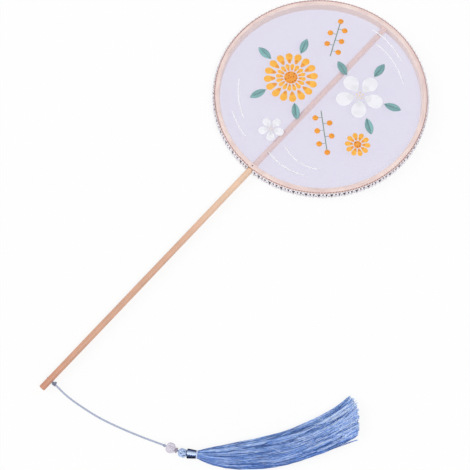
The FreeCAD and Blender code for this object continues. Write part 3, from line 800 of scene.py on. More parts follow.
class FAN_OT_trim(Operator):
    """Ribbed tape round the hoop's wall and the looped braid over it, parted at the handle"""

    bl_idname = "fan.trim"
    bl_label = "Rim trim"

    def execute(self, context):
        sizes = context.scene.fan_sizes
        colours = context.scene.fan_colours
        parting = math.asin((sizes.handle_diameter / 2 + sizes.trim_gap) / HOOP_RADIUS)
        self.ends = (-math.pi / 2 + parting, 1.5 * math.pi - parting)
        self.tape(sizes, colours)
        self.braid(sizes, colours)
        return {"FINISHED"}

    def tape(self, sizes, colours):
        """Thin rounded box carried round the wall, its thickness swelling as a cosine at each rib."""
        overlap = 0.0003
        edge = 0.00012
        foot = HOOP_RADIUS + sizes.glue_gap
        ribs = int((self.ends[1] - self.ends[0]) * foot / sizes.tape_rib)
        angles = np.linspace(*self.ends, ribs * 4 + 1)
        high = FACE - sizes.tape_margin
        centre = FACE_CENTRE * (1, 1, 0) + UP * (sizes.tape_margin + high / 2)
        path = circle(centre, foot + sizes.tape_thickness / 2, angles)
        rib = 0.5 + 0.5 * np.cos(np.arange(len(angles)) * math.pi / 2)
        outline = rounded_box(sizes.tape_thickness, high + overlap, edge, 2)
        outline = outline * np.stack([0.8 + 0.3 * rib, np.ones_like(rib)], -1)[:, None]
        points = tube(path, outline, UP)[None]
        # Painted shade: darker in the dips between ribs.
        values = {"shade": capped_values(rib[None, :, None], points)}
        cloth = thread("rim_tape", colours.tape, roughness=0.7, dark=0.5, pale=1.7)
        put("ribbed_tape", capped(points), cloth, "fan", ["rim_tape"], values)

    def braid(self, sizes, colours):
        """White cord up and down the wall as a sine, whose every third wave is longer, over a dark ribbon
        between two white ones."""
        foot = HOOP_RADIUS + sizes.glue_gap * 2 + sizes.tape_thickness
        waves = round((self.ends[1] - self.ends[0]) * foot / sizes.braid_wave)
        count_along = np.linspace(0, waves, waves * 14 + 1)
        angles = self.ends[0] + (self.ends[1] - self.ends[0]) * count_along / waves
        phase = TURN * count_along + 1.1 * np.sin(TURN * count_along / 3)
        thin = (sizes.braid_thickness - sizes.ribbon_thickness) / 2
        top = FACE - sizes.braid_drop
        swing = (sizes.braid_height - sizes.braid_strand) / 2
        height = top - sizes.braid_height / 2 + swing * np.sin(phase)
        outward = heading(angles)
        level = FACE_CENTRE * (1, 1, 0)
        path = (foot + sizes.ribbon_thickness + thin) * outward + level + height[:, None] * UP
        ridges = laid_ridges(12, 4 * phase)
        outline = oval(sizes.braid_strand / 2, thin, 12) * (0.84 + 0.16 * ridges[..., None])
        cord = tube(path, outline, outward)[None]
        ribbons = []
        levels = (sizes.ribbon_low, sizes.dark_low, sizes.dark_high, sizes.ribbon_high)
        thicknesses = (sizes.ribbon_thickness, sizes.ribbon_thickness, sizes.piping_thickness)
        for low, high, thick in zip(levels[:-1], levels[1:], thicknesses):
            ribbon_path = circle(level + UP * (low + high) / 2, foot + thick / 2, angles[::4])
            box = rounded_box(thick, high - low, thick / 3, 2)
            ribbons.append(tube(ribbon_path, box, UP))
        ribbons = np.stack(ribbons)
        ribbon_tones = np.array([0.62, 0.0, 0.62])[:, None, None]
        # Painted shade on the cord: darker in the grooves between its ridges.
        shades = [capped_values((0.55 + 0.45 * ridges)[None], cord), capped_values(ribbon_tones, ribbons)]
        values = {"shade": np.concatenate(shades)}
        cloth = thread("rim_braid_silk", colours.braid, roughness=0.38, deep=colours.ribbon, pale=1.05)
        shape = joined(capped(cord), capped(ribbons))
        put("looped_braid", shape, cloth, "fan", ["rim_braid"], values)


# Embroidery

def satin(starts, ends, lift, width, rings=7, around=5):
    """Threads from starts[thread, xyz] to ends: tubes on low arches, the square root of a sine high, that
    thin where they go down into the cloth."""
    way = np.linspace(0, 1, rings)
    arch = np.sqrt(np.sin(np.clip(way, 0.004, 0.996) * math.pi))
    path = starts[:, None] + (ends - starts)[:, None] * way[:, None]
    path = path + (np.broadcast_to(lift, len(starts))[:, None] * arch - 0.1 * width)[..., None] * UP
    outline = oval(width / 2, width * 0.4, around) * (0.5 + 0.5 * arch)[:, None, None]
    return tube(path, outline, UP)


def pads(centre, headings, along, low, high, height):
    """Padding under stitches: half-ellipse sections between a low and a high side at each step along, set
    out from a centre at each heading."""
    angle = even_angles(10)
    middle = (low + high) / 2
    half = np.abs(high - low) / 2
    across = middle[:, None] + half[:, None] * np.cos(angle)
    local = np.stack(np.broadcast_arrays(along[:, None], across), -1).reshape(-1, 2)
    points = set_out(centre, headings, local).reshape(len(headings), len(along), len(angle), 3)
    arch = np.sqrt(half / half.max())[:, None]
    upward = np.sin(angle)
    return points + (height * arch * np.where(upward > 0, upward, 0.15 * upward))[..., None] * UP


def disc_pads(centres, turns, radius, height):
    """Padding under round motifs: half-ellipse sections between the two sides of a circle."""
    along = np.linspace(-0.96, 0.96, 12) * radius
    wide = np.sqrt(radius ** 2 - along ** 2)
    places = zip(centres, turns)
    return np.concatenate([pads(centre, [turn], along, -wide, wide, height) for centre, turn in places])


def spiral_knots(centres, diameter, height, turns=2.2):
    """Wound knots: a tube on a spiral that climbs as it closes in."""
    way = np.linspace(0, 1, 26)
    thick = diameter * 0.19
    reach = (diameter / 2 - thick) * (1 - 0.72 * way)
    rise = (height - thick) * way ** 0.7
    spiral = reach[:, None] * heading(way * turns * TURN) + rise[:, None] * UP
    return tube(centres[:, None] + spiral, oval(thick, thick * 0.9, 6), UP)


def petal_width(outer, petals, fill):
    """Width at which petals of a ring take up the given share of their spacing."""
    spread = math.sin(math.pi / petals) * fill
    return 2 * spread * outer / (1 + spread)


def petal_stitches(centre, headings, inner, outer, width, sizes, rng):
    """Long stitches from a petal's foot to its round tip's arc, from tangent to tangent, a second row of
    short stitches over their feet, and the padding below. Gives threads, their shades and the padding."""
    reach = outer - inner
    tip = width / 2
    middle = reach - tip
    lean = math.asin(tip / middle)
    spread = math.pi / 2 + lean
    number = max(int(2 * spread * tip / sizes.thread_width * 0.92), 9)
    angle = np.linspace(-spread, spread, number)
    rims = np.stack([inner + middle + tip * np.cos(angle), tip * np.sin(angle)], -1)
    feet = np.stack([np.full(number, inner + 0.05 * reach), np.linspace(-0.1, 0.1, number) * width], -1)
    starts = set_out(centre, headings, feet)
    ends = set_out(centre, headings, rims)
    shortened = 1 - 0.05 * rng.random(starts.shape[:2])[..., None]
    long_ends = starts + (ends - starts) * shortened
    half = slice(1, number - 1, 2)
    short_starts = starts[:, half]
    short_share = 0.42 + 0.2 * rng.random(short_starts.shape[:2])[..., None]
    short_ends = short_starts + (ends - starts)[:, half] * short_share
    lift = sizes.petal_height * (0.62 + 0.25 * rng.random(starts.shape[:2]))
    short_lift = sizes.petal_height * (0.85 + 0.25 * rng.random(short_share.shape[:2]))
    threads = [
        satin(first.reshape(-1, 3), last.reshape(-1, 3), high.ravel(), sizes.thread_width)
        for first, last, high in ((starts, long_ends, lift), (short_starts, short_ends, short_lift))
    ]
    shades = [
        0.55 + 0.3 * rng.random(lift.size),
        0.12 + 0.25 * rng.random(short_lift.size),
    ]
    along = reach * (1 - np.cos(np.linspace(0.06, 0.97, 14) * math.pi)) / 2
    taper = along * math.tan(lean)
    tip_arc = np.sqrt(np.clip(tip ** 2 - (along - middle) ** 2, 0, None))
    wide = np.where(along < middle - tip * math.sin(lean), taper, tip_arc) * 0.96
    padding = pads(centre, headings, inner + along, -wide, wide, sizes.petal_height * 0.55)
    return np.concatenate(threads), np.concatenate(shades), padding


def stitched(name, groups, material, nodes):
    """One piece from groups of (points, shade of each shell or of each point)."""
    shapes = [capped(points) for points, _ in groups]
    shades = []
    for points, shade in groups:
        shade = np.asarray(shade, float)
        shade = shade.reshape(shade.shape + (1,) * (3 - shade.ndim))
        shades.append(capped_values(shade, points))
    values = {"shade": np.concatenate(shades)}
    return put(name, joined(*shapes), material, "fan", nodes, values, sharp=80)


class FAN_OT_flowers(Operator):
    """Gold flowers and white blossoms in satin stitch, with knotted hearts"""

    bl_idname = "fan.flowers"
    bl_label = "Flowers"

    def execute(self, context):
        sizes = context.scene.stitch_sizes
        colours = context.scene.fan_colours
        rng = np.random.default_rng(11)
        half_step = TURN / sizes.gold_petals / 2
        upright = math.pi / 2
        petals = sizes.blossom_petals
        gold_rings = (
            (GOLD_FLOWER, sizes.gold_petals, sizes.gold_ring, sizes.gold_radius, 0),
            (GOLD_FLOWER, sizes.gold_petals, sizes.gold_heart, sizes.gold_ring, half_step),
            (SMALL_GOLD, sizes.small_gold_petals, sizes.small_gold_heart, sizes.small_gold_radius, 0),
        )
        white_rings = (
            (BLOSSOM, petals, sizes.blossom_heart, sizes.blossom_radius, upright),
            (SMALL_BLOSSOM, petals, sizes.small_blossom_heart, sizes.small_blossom_radius, upright),
        )
        gold = thread("gold_thread", colours.gold, pale=1.15, deep=colours.amber)
        white = thread("white_thread", colours.white, dark=0.85, pale=1.05)
        self.petals("gold_petal_stitches", gold_rings, gold, "gold_petals", "gold_thread", sizes, rng)
        self.petals("white_petal_stitches", white_rings, white, "white_petals", "white_thread", sizes, rng)
        self.hearts(sizes, colours)
        return {"FINISHED"}

    def petals(self, name, rings, material, node_name, slot, sizes, rng):
        """Every ring of petals of one colour."""
        groups = []
        for place, petals, inner, outer, turn in rings:
            centre = on_face(place)
            headings = turn + even_angles(petals)
            width = petal_width(outer, petals, sizes.petal_fill)
            threads, shades, padding = petal_stitches(centre, headings, inner, outer, width, sizes, rng)
            groups += [(threads, shades), (padding, 0.45)]
        stitched(name, groups, material, [node_name])

    def hearts(self, sizes, colours):
        """Knots in rings of six and twelve about one in the middle, and stamens between white petals."""
        pitch = sizes.gold_knot + sizes.gold_knot_gap
        ring = heading(even_angles(6)) * pitch
        outer_ring = heading(even_angles(12)) * pitch * 2
        middle = np.zeros((1, 3))
        large = on_face(GOLD_FLOWER) + np.concatenate([middle, ring, outer_ring])
        small = on_face(SMALL_GOLD) + np.concatenate([middle, ring])
        knots = spiral_knots(np.concatenate([large, small]), sizes.gold_knot, sizes.knot_height)
        shade = 0.5 + 0.35 * np.sin(np.arange(len(knots)) * 2.4)
        groups = [(knots, shade)]
        for place, radius in ((GOLD_FLOWER, sizes.gold_heart), (SMALL_GOLD, sizes.small_gold_heart)):
            padding = disc_pads([on_face(place)], [0.4], radius * 0.95, sizes.knot_height * 0.4)
            groups.append((padding, 0.8))
        amber = thread("amber_thread", colours.amber, dark=0.6, light=colours.gold)
        stitched("gold_heart_knots", groups, amber, ["gold_hearts"])
        petals = sizes.blossom_petals
        between = heading(math.pi / 2 + (np.arange(petals) + 0.5) * TURN / petals)
        groups = []
        hearts = (
            (BLOSSOM, sizes.blossom_heart, sizes.stamen),
            (SMALL_BLOSSOM, sizes.small_blossom_heart, sizes.small_stamen),
        )
        for place, radius, diameter in hearts:
            centres = on_face(place) + np.concatenate([middle, between * (radius - diameter)])
            groups.append((spiral_knots(centres, diameter, sizes.stamen_height * 1.4), 0.6))
        yellow = thread("yellow_thread", colours.yellow, dark=0.6, pale=1.2)
        stitched("stamen_knots", groups, yellow, ["white_hearts"])


class FAN_OT_leaves(Operator):
    """Leaves in slanting satin stitch, and the berry sprigs"""

    bl_idname = "fan.leaves"
    bl_label = "Leaves and sprigs"

    def execute(self, context):
        sizes = context.scene.stitch_sizes
        colours = context.scene.fan_colours
        rng = np.random.default_rng(23)
        self.leaves(sizes, colours, rng)
        self.sprigs(sizes, colours, rng)
        return {"FINISHED"}

    def leaves(self, sizes, colours, rng):
        """Each half leaf lies between the vein and an arc over it, and its stitches slant from the vein
        forward to the arc. A laid thread covers the vein's foot."""
        reach = sizes.leaf_length
        belly = sizes.leaf_width / 2
        arc_radius = (reach ** 2 / 4 + belly ** 2) / (2 * belly)
        number = int(reach / sizes.thread_width * 1.15)
        share = np.linspace(0.04, 1, number)

        def over_vein(along):
            """Distance from the vein to the arc."""
            square = arc_radius ** 2 - (along - reach / 2) ** 2
            return np.sqrt(np.clip(square, 0, None)) - (arc_radius - belly)

        along = share * reach
        root = np.clip(share - 0.2, 0, None) * 0.97 * reach
        padded = np.linspace(0.02, 0.98, 12) * reach
        groups = []
        flowers = (
            (GOLD_FLOWER, sizes.gold_radius, GOLD_LEAVES),
            (BLOSSOM, sizes.blossom_radius, BLOSSOM_LEAVES),
        )
        for place, radius, leaf_headings in flowers:
            centre = on_face(place)
            headings = np.radians(leaf_headings)
            foot = radius + sizes.leaf_stand_off
            for side in (1, -1):
                vein = np.full(number, side * sizes.leaf_vein / 2)
                roots = np.stack([foot + root, vein], -1)
                rims = np.stack([foot + along, vein + side * over_vein(along)], -1)
                starts = set_out(centre, headings, roots).reshape(-1, 3)
                ends = set_out(centre, headings, rims).reshape(-1, 3)
                ends = starts + (ends - starts) * (1 - 0.06 * rng.random((len(starts), 1)))
                lift = sizes.leaf_height * (0.75 + 0.3 * rng.random(len(starts)))
                tone = 0.3 + 0.35 * rng.random((len(headings), 1)) + 0.3 * rng.random((1, number))
                groups.append((satin(starts, ends, lift, sizes.thread_width), tone.ravel()))
                low = np.full(len(padded), side * sizes.leaf_vein / 2)
                high = low + side * over_vein(padded)
                padding = pads(centre, headings, foot + padded, low, high, sizes.leaf_height * 0.6)
                groups.append((padding, 0.3))
            spine = np.stack([np.linspace(foot - 0.001, foot + reach, 24), np.zeros(24)], -1)
            paths = set_out(centre, headings, spine) + UP * sizes.leaf_height * 0.5
            groups.append((tube(paths, oval(sizes.leaf_vein / 2, sizes.leaf_vein / 2, 6), UP), 0.05))
        teal = thread("teal_thread", colours.teal, dark=0.5, pale=1.5)
        stitched("leaf_stitches", groups, teal, ["leaves"])

    def sprigs(self, sizes, colours, rng):
        """Straight laid stems with a short stalk to each side berry. A berry is a disc of level stitches,
        each as long as its chord and as high as a circle over it."""
        stem_lay = 0.0026
        stalk_lay = 0.0016
        high = sizes.berry_height
        stems = []
        centres = []
        turns = []
        for place, degrees, reach in zip(SPRIG_FEET, SPRIG_HEADINGS, SPRIG_LENGTHS):
            foot = on_face(place) + UP * sizes.line_height / 2
            along = heading(np.radians(degrees))
            left = np.cross(UP, along)
            stem = foot + np.linspace(0, reach, 120)[:, None] * along
            # The rope's swell serves as shade: painted shade in the grooves between its ridges.
            stems.append(rope(stem, sizes.stem_width, sizes.line_height * 1.6, stem_lay, UP))
            for i in range(sizes.berries_on_stem):
                side = 1 if i % 2 else -1
                root = foot + along * reach * (i + 1) / (sizes.berries_on_stem + 1)
                stalk_run = np.linspace(0, sizes.berry_reach - sizes.berry / 2, 16)
                stalk = root + stalk_run[:, None] * left * side
                stems.append(rope(stalk, sizes.stalk_width, sizes.line_height * 1.2, stalk_lay, UP))
                centres.append(root + left * side * sizes.berry_reach)
                turns.append(np.radians(degrees) + 0.7 * i)
            centres.append(foot + along * (reach + sizes.berry / 2))
            turns.append(np.radians(degrees) + 0.4)
        green = thread("stem_thread", colours.stem, dark=0.6, pale=1.3)
        stitched("sprig_stem_stitches", stems, green, ["sprig_stems"])
        centres = np.array(centres) - UP * sizes.line_height / 2
        turns = np.array(turns)
        radius = sizes.berry / 2
        offset = np.linspace(-0.93, 0.93, 11) * radius
        chord = np.sqrt(radius ** 2 - offset ** 2)
        along = heading(turns)[:, None]
        left = np.cross(UP, along)
        starts = centres[:, None] - chord[:, None] * along + offset[:, None] * left
        ends = centres[:, None] + chord[:, None] * along + offset[:, None] * left
        lift = np.tile(high * 0.82 * chord / radius, len(centres))
        width = sizes.thread_width * 1.05
        threads = satin(starts.reshape(-1, 3), ends.reshape(-1, 3), lift, width, rings=9)
        tone = 0.35 + 0.4 * rng.random((len(centres), 1)) + 0.2 * rng.random((1, len(offset)))
        padding = disc_pads(centres, turns, radius, high * 0.8)
        hearts = spiral_knots(centres + UP * high * 0.55, radius * 0.7, high * 0.45)
        orange = thread("orange_thread", colours.orange, dark=0.55, pale=1.25)
        groups = [(threads, tone.ravel()), (padding, 0.35), (hearts, 0.0)]
        stitched("berry_stitches", groups, orange, ["berries"])


class FAN_OT_mist(Operator):
    """Curved lines of overlapping slanting stitches"""

    bl_idname = "fan.mist"
    bl_label = "Mist lines"

    def execute(self, context):
        """Each line is the circle through its three points. Stitches set off along it at even steps,
        alternately on its two sides, and cross over to the other side."""
        sizes = context.scene.stitch_sizes
        colours = context.scene.fan_colours
        rng = np.random.default_rng(37)
        groups = []
        for line in MIST_LINES:
            first, middle, last = (on_face(place) for place in line)
            path = self.arc(first, middle, last)
            lengths = path_lengths(path)
            number = int(lengths[-1] / (sizes.line_stitch * 0.25))
            begin = np.linspace(0, lengths[-1] - sizes.line_stitch, number)
            _, side, _ = path_frame(path, UP)
            aside = 0.28 * sizes.line_width * side
            starts = at_lengths(path - aside, lengths, begin)
            ends = at_lengths(path + aside, lengths, begin + sizes.line_stitch)
            lift = sizes.line_height * (0.7 + 0.3 * rng.random(number))
            tone = 0.6 + 0.4 * rng.random(number)
            groups.append((satin(starts, ends, lift, sizes.line_width * 0.6), tone))
        mist = thread("mist_thread", colours.white, dark=0.75, pale=1.05)
        stitched("mist_line_stitches", groups, mist, ["mist_lines"])
        return {"FINISHED"}

    def arc(self, first, middle, last):
        """Points of the circle through three points, worked out from the crossing of two mid-lines."""
        rows = np.stack([middle - first, last - first])[:, :2]
        halves = np.stack([(middle + first) / 2, (last + first) / 2])[:, :2]
        centre = np.append(np.linalg.solve(rows, (rows * halves).sum(axis=1)), first[2])
        spokes = np.stack([first, middle, last]) - centre
        angles = np.unwrap(np.arctan2(spokes[:, 1], spokes[:, 0]))
        return circle(centre, np.linalg.norm(spokes[0]), np.linspace(angles[0], angles[2], 80))


# Cord and tassel

def cord_line():
    """Points read from the smooth NURBS curve that has the cord's route as its control points."""
    curve = bpy.data.curves.new("cord_route", "CURVE")
    curve.dimensions = "3D"
    curve.resolution_u = 24
    spline = curve.splines.new("NURBS")
    route = [HITCH] + [np.array([HITCH[0] + x, HITCH[1] + y, z]) for x, y, z in CORD_ROUTE]
    spline.points.add(len(route) - 1)
    for point, place in zip(spline.points, route):
        point.co = (*place, 1.0)
    spline.order_u = 3
    spline.use_endpoint_u = True
    holder = bpy.data.objects.new("cord_route", curve)
    mesh = bpy.data.meshes.new_from_object(holder)
    points = np.zeros(len(mesh.vertices) * 3)
    mesh.vertices.foreach_get("co", points)
    bpy.data.objects.remove(holder)
    bpy.data.meshes.remove(mesh)
    return points.reshape(-1, 3)


def overhand(centre, axis, diameter, strand):
    """Small overhand knot drawn tight: a round strand on a trefoil, three lobes about its axis."""
    t = even_angles(120)
    reach = (diameter / 2 - strand) / 3
    flat = np.stack([np.sin(t) + 2 * np.sin(2 * t), np.cos(t) - 2 * np.cos(2 * t)], -1) * reach
    axis = unit(np.asarray(axis, float))
    first = unit(np.cross(axis, FORWARD))
    second = np.cross(axis, first)
    out = flat[:, :1] * first + flat[:, 1:] * second
    path = centre + out - (1.35 * reach * np.sin(3 * t))[:, None] * axis
    ridges = laid_ridges(10, 9 * t)
    outline = oval(strand, strand, 10) * (0.86 + 0.14 * ridges[..., None])
    points = tube(path, outline, path - centre, closed=True)[None]
    # Painted shade: darker in the grooves between the ridges.
    return endless(points), {"shade": 0.1 + 0.6 * ridges.ravel()}


def cord_thread():
    """The cord's thread, made once and shared by the cord's pieces."""
    made = bpy.data.materials.get("twisted_silk")
    base = bpy.context.scene.fan_colours.cord
    return made or thread("twisted_silk", base, roughness=0.42, dark=0.28, pale=1.25)


class FAN_OT_cord(Operator):
    """Tassel cord on its route, with its knots, its loop through the handle and its two hidden ends"""

    bl_idname = "fan.cord"
    bl_label = "Cord"

    def execute(self, context):
        hitch_strand = 0.00078
        stopper_strand = 0.0005
        inside_hitch = 0.0016
        inside_stopper = 0.0003
        sizes = context.scene.tassel_sizes
        handle = context.scene.fan_sizes.handle_diameter / 2
        self.loop(sizes, handle)
        stopper = HITCH * (1, 1, 0) + np.array(CORD_ROUTE[-1])
        knot, values = overhand(HITCH, (0.5, -0.35, 0.8), sizes.hitch_diameter, hitch_strand)
        # The hitch knot is painted darker still: painted shade beside the handle.
        values["shade"] *= 0.3
        put("hitch_overhand", knot, cord_thread(), "hitch", ["hitch_knot"], values)
        knot, values = overhand(stopper, (0.8, 0.3, 0.6), sizes.stopper_diameter, stopper_strand)
        put("stopper_overhand", knot, cord_thread(), "cord", ["stopper_knot"], values)
        line = cord_line()
        from_hitch = np.linalg.norm(line - HITCH, axis=1)
        from_stopper = np.linalg.norm(line - stopper, axis=1)
        line = line[(from_hitch > inside_hitch) & (from_stopper > inside_stopper)]
        line = even_path(line, sizes.cord_lay / 24)
        points = plies(line, sizes.cord_diameter, sizes.cord_lay, UP)
        cord = self.twisted("twisted_cord", points, ["tassel_cord"], "cord")
        core_end = BUTTON - THREAD_AXIS * (sizes.button_diameter / 2 + sizes.running_gap)
        core = self.straight(stopper, core_end, sizes.cord_diameter, sizes.cord_lay)
        self.twisted("cord_end", core, ["cord_core"], "cord")
        axis = heading(np.array(sizes.tassel_heading))
        tie_start = BUTTON + axis * sizes.button_diameter / 3
        tie_end = BUTTON + axis * (sizes.button_diameter / 2 + sizes.tie_length)
        tie = self.straight(tie_start, tie_end, sizes.tie_diameter, sizes.cord_lay)
        self.twisted("tied_end", tie, ["tassel_tie"], "tassel")
        return {"FINISHED"}

    def straight(self, start, end, diameter, lay):
        """Twisted cord from point to point."""
        run = start + np.linspace(0, 1, 60)[:, None] * (end - start)
        return plies(run, diameter, lay, UP)

    def twisted(self, name, points, nodes, body):
        """Piece from a cord's three plies, paler on one side."""
        shade = 0.5 + 0.15 * np.cos(even_angles(points.shape[2]))
        values = {"shade": capped_values(shade, points)}
        return put(name, capped(points), cord_thread(), body, nodes, values)

    def loop(self, sizes, handle):
        """Thin cord in the plane across the handle: straight through the hole, a quarter turn down, a
        wider one under the handle, straight, and half of such a turn up and straight into the knot."""
        in_hole = np.array([0.0012, 0.0, 0.0])
        in_knot = np.array([0.0006, 0.0, 0.0006])
        spacing = 0.0002
        lay = 0.0028
        out = handle + sizes.loop_exit
        low = HITCH[2] - handle - sizes.loop_under_gap - sizes.loop_diameter / 2
        bend_height = HITCH[2] - sizes.loop_bend
        under = bend_height - low
        flat = out + sizes.loop_bend - under
        level = HITCH * (0, 1, 0)
        right = (1.0, 0.0, 0.0)
        quarter = np.linspace(0, math.pi / 2, 14)
        path = np.concatenate(
            [
                [HITCH - in_hole],
                circle(level + [-out, 0, bend_height], sizes.loop_bend, quarter + math.pi / 2, right, UP),
                circle(level + [-flat, 0, bend_height], under, quarter + math.pi, right, UP)[1:],
                circle(level + [flat, 0, bend_height], under, quarter / 2 + 1.5 * math.pi, right, UP),
                [HITCH - in_knot],
            ]
        )
        thick = sizes.loop_diameter
        points, swell = rope(even_path(path, spacing), thick, thick, lay, FORWARD)
        # Painted shade: darker in the grooves between the ridges.
        values = {"shade": capped_values(0.25 + 0.5 * swell, points)}
        shape = capped(points)
        put("handle_loop_cord", shape, cord_thread(), "fan", ["handle_loop"], values)


def turned_ring(centre, axis, outer, inner, thick, power, steps=96, lobes=0, lobe_depth=0.0):
    """Ring about an axis: a straight bore and a bulge out of it, a cosine to a power out and a sine along.
    The bulge is drawn in between lobes by a cosine round the ring, which leans from end to end."""
    angles = even_angles(steps)
    first = unit(np.cross(UP, axis))
    path = circle(centre, inner, angles, first, np.cross(axis, first))
    turn = even_angles(36)
    bulge = np.clip(-np.cos(turn), 0, None) ** power
    groove = lobe_depth * (0.5 - 0.5 * np.cos(angles[:, None] * lobes + 1.4 * np.sin(turn)))
    out = bulge * (outer - inner - groove)
    section = np.stack(np.broadcast_arrays(-out, thick / 2 * np.sin(turn)), -1)
    return tube(path, section, axis, closed=True)[None]


class FAN_OT_beads(Operator):
    """Lobed bead and the spacer ring below it"""

    bl_idname = "fan.beads"
    bl_label = "Bead and spacer"

    def execute(self, context):
        sizes = context.scene.tassel_sizes
        colours = context.scene.fan_colours
        bore = sizes.cord_diameter / 2
        bead = turned_ring(
            BEAD, THREAD_AXIS, sizes.bead_diameter / 2, bore + sizes.bead_clearance, sizes.bead_length, 0.9,
            steps=160, lobes=sizes.bead_lobes, lobe_depth=sizes.bead_lobe_depth,
        )
        resin = clouded(
            "bead_resin", colours.bead, 0.3, 420.0, Coat_Weight=0.4, Coat_Roughness=0.15,
            Subsurface_Weight=0.15, Subsurface_Radius=(0.002, 0.002, 0.002),
        )
        put("lobed_bead", endless(bead), resin, "bead", ["flower_bead"])
        reach = sizes.bead_length / 2 + sizes.running_gap + sizes.spacer_thickness / 2
        below = BEAD + THREAD_AXIS * reach
        outer = sizes.spacer_diameter / 2
        spacer = turned_ring(below, THREAD_AXIS, outer, bore, sizes.spacer_thickness, 0.5)
        glass = clouded("spacer_glass", colours.spacer, 0.22, 900.0, Coat_Weight=0.5)
        put("spacer_bead", endless(spacer), glass, "cord", ["spacer_ring"])
        return {"FINISHED"}


class FAN_OT_neck(Operator):
    """Woven button knot, the wound collar and its pale binding"""

    bl_idname = "fan.neck"
    bl_label = "Knot and collar"

    def execute(self, context):
        sizes = context.scene.tassel_sizes
        colours = context.scene.fan_colours
        axis = heading(np.array(sizes.tassel_heading))
        self.button(sizes, colours, axis)
        start = BUTTON + axis * (sizes.button_diameter / 2 - sizes.collar_bite)
        self.collar(sizes, colours, axis, start)
        self.binding(sizes, colours, axis, start + axis * (sizes.collar_length - sizes.binding_length))
        return {"FINISHED"}

    def button(self, sizes, colours, axis):
        """Three-lead, five-bight woven ball: three turns of longitude while the latitude swings five times
        as a cosine, rising and falling over the ball at twice that pace, about a core painted black as
        painted shade between the strands."""
        leads = 3
        bights = 5
        swing = math.radians(65)
        strand = 0.00108
        over_and_under = 0.00028
        t = even_angles(300)
        reach = sizes.button_diameter / 2 - strand
        latitude = swing * np.cos(bights * t)
        rise = reach - over_and_under + over_and_under * np.sin(2 * bights * t)
        side = np.cross(UP, axis)
        level = np.cos(leads * t)[:, None] * side + np.sin(leads * t)[:, None] * UP
        outward = np.cos(latitude)[:, None] * level + np.sin(latitude)[:, None] * axis
        path = BUTTON + rise[:, None] * outward
        ridges = laid_ridges(12, 24 * t)
        outline = oval(strand, strand * 0.8, 12) * (0.86 + 0.14 * ridges[..., None])
        strands = endless(tube(path, outline, outward, closed=True)[None])
        lean = np.linspace(0.02, 0.98, 14) * math.pi
        core_path = BUTTON - axis * (reach * np.cos(lean))[:, None] * 0.9
        core_outline = oval(1, 1, 20) * (reach * 0.9 * np.sin(lean))[:, None, None]
        core = tube(core_path, core_outline, UP)[None]
        out_of_pole = BUTTON - THREAD_AXIS * np.linspace(reach / 2, sizes.button_diameter / 2, 30)[:, None]
        stub = plies(out_of_pole, sizes.cord_diameter, sizes.cord_lay, UP)
        # Painted shade: the strands are darker in the grooves between their ridges, and the core is black.
        shades = [0.35 + 0.5 * ridges.ravel(), capped_values(0.0, core), capped_values(0.6, stub)]
        values = {"shade": np.concatenate(shades)}
        silk = thread("knot_thread", colours.knot, roughness=0.26, dark=0.1, pale=1.3)
        shape = joined(strands, capped(core), capped(stub))
        put("woven_button_knot", shape, silk, "tassel", ["button_knot"], values, sharp=80)

    def collar(self, sizes, colours, axis, start):
        """Circles along the axis, whose radius tapers, swells as a cosine once a turn of thread, on a
        slant of one turn, and draws in at both ends. The thread is painted palest on top and below as a
        painted highlight, and darkest at the sides and in the grooves between turns as painted shade."""
        end_round = 0.0006
        end_share = 0.06
        turn_depth = 0.000014
        reach = sizes.collar_length - sizes.binding_length
        way = np.linspace(0, 1, sizes.collar_turns * 7 + 1)
        angle = even_angles(64)
        turns = way[:, None] * sizes.collar_turns * TURN - angle
        swell = np.abs(np.cos(turns / 2))
        near_start = np.clip(1 - way / end_share, 0, 1)
        near_end = np.clip(1 - (1 - way) / end_share, 0, 1)
        drawn_in = end_round * (near_start ** 2 + near_end ** 2) + sizes.collar_taper * (way - 0.5) / 2
        radius = sizes.collar_diameter / 2 - drawn_in[:, None] - turn_depth * (1 - swell)
        path = start + (way * reach)[:, None] * axis
        points = tube(path, oval(1.0, 1.0, len(angle)) * radius[..., None], UP)[None]
        satin_silk = thread(
            "satin_thread", colours.satin, roughness=0.22, deep=colours.satin_painted_shade,
            light=colours.satin_painted_highlight, depth=0.000002, Metallic=1.0, Sheen_Weight=0.0,
            Specular_Tint=(0.1, 0.13, 0.25, 1.0),
        )
        # Painted highlight on top and below and painted shade at the sides, by the sine of the angle round
        # the collar. The grooves between turns get painted shade too.
        shade = np.abs(np.sin(angle)) ** 8 * (0.75 + 0.25 * swell)
        values = {"shade": capped_values(shade, points)}
        shape = capped(points)
        put("wound_collar", shape, satin_silk, "tassel", ["collar_wrap"], values, sharp=80)

    def binding(self, sizes, colours, axis, start):
        """Two turns of laid thread side by side."""
        strand = sizes.binding_length / 4
        angles = even_angles(120)
        side = np.cross(UP, axis)
        ridges = laid_ridges(8, 26 * angles)
        outline = oval(strand, strand, 8) * (0.94 + 0.06 * ridges[..., None])
        rings = []
        for place in (strand, 3 * strand):
            path = circle(start + axis * place, sizes.binding_diameter / 2 - strand, angles, side, UP)
            rings.append(tube(path, outline, axis, closed=True))
        shape = endless(np.stack(rings))
        # Painted shade: darker in the grooves between the ridges.
        values = {"shade": np.tile(0.3 + 0.6 * ridges.ravel(), len(rings))}
        pale = thread("pale_thread", colours.binding, roughness=0.35, dark=0.8, pale=1.15)
        put("collar_binding_turns", shape, pale, "tassel", ["collar_binding"], values)


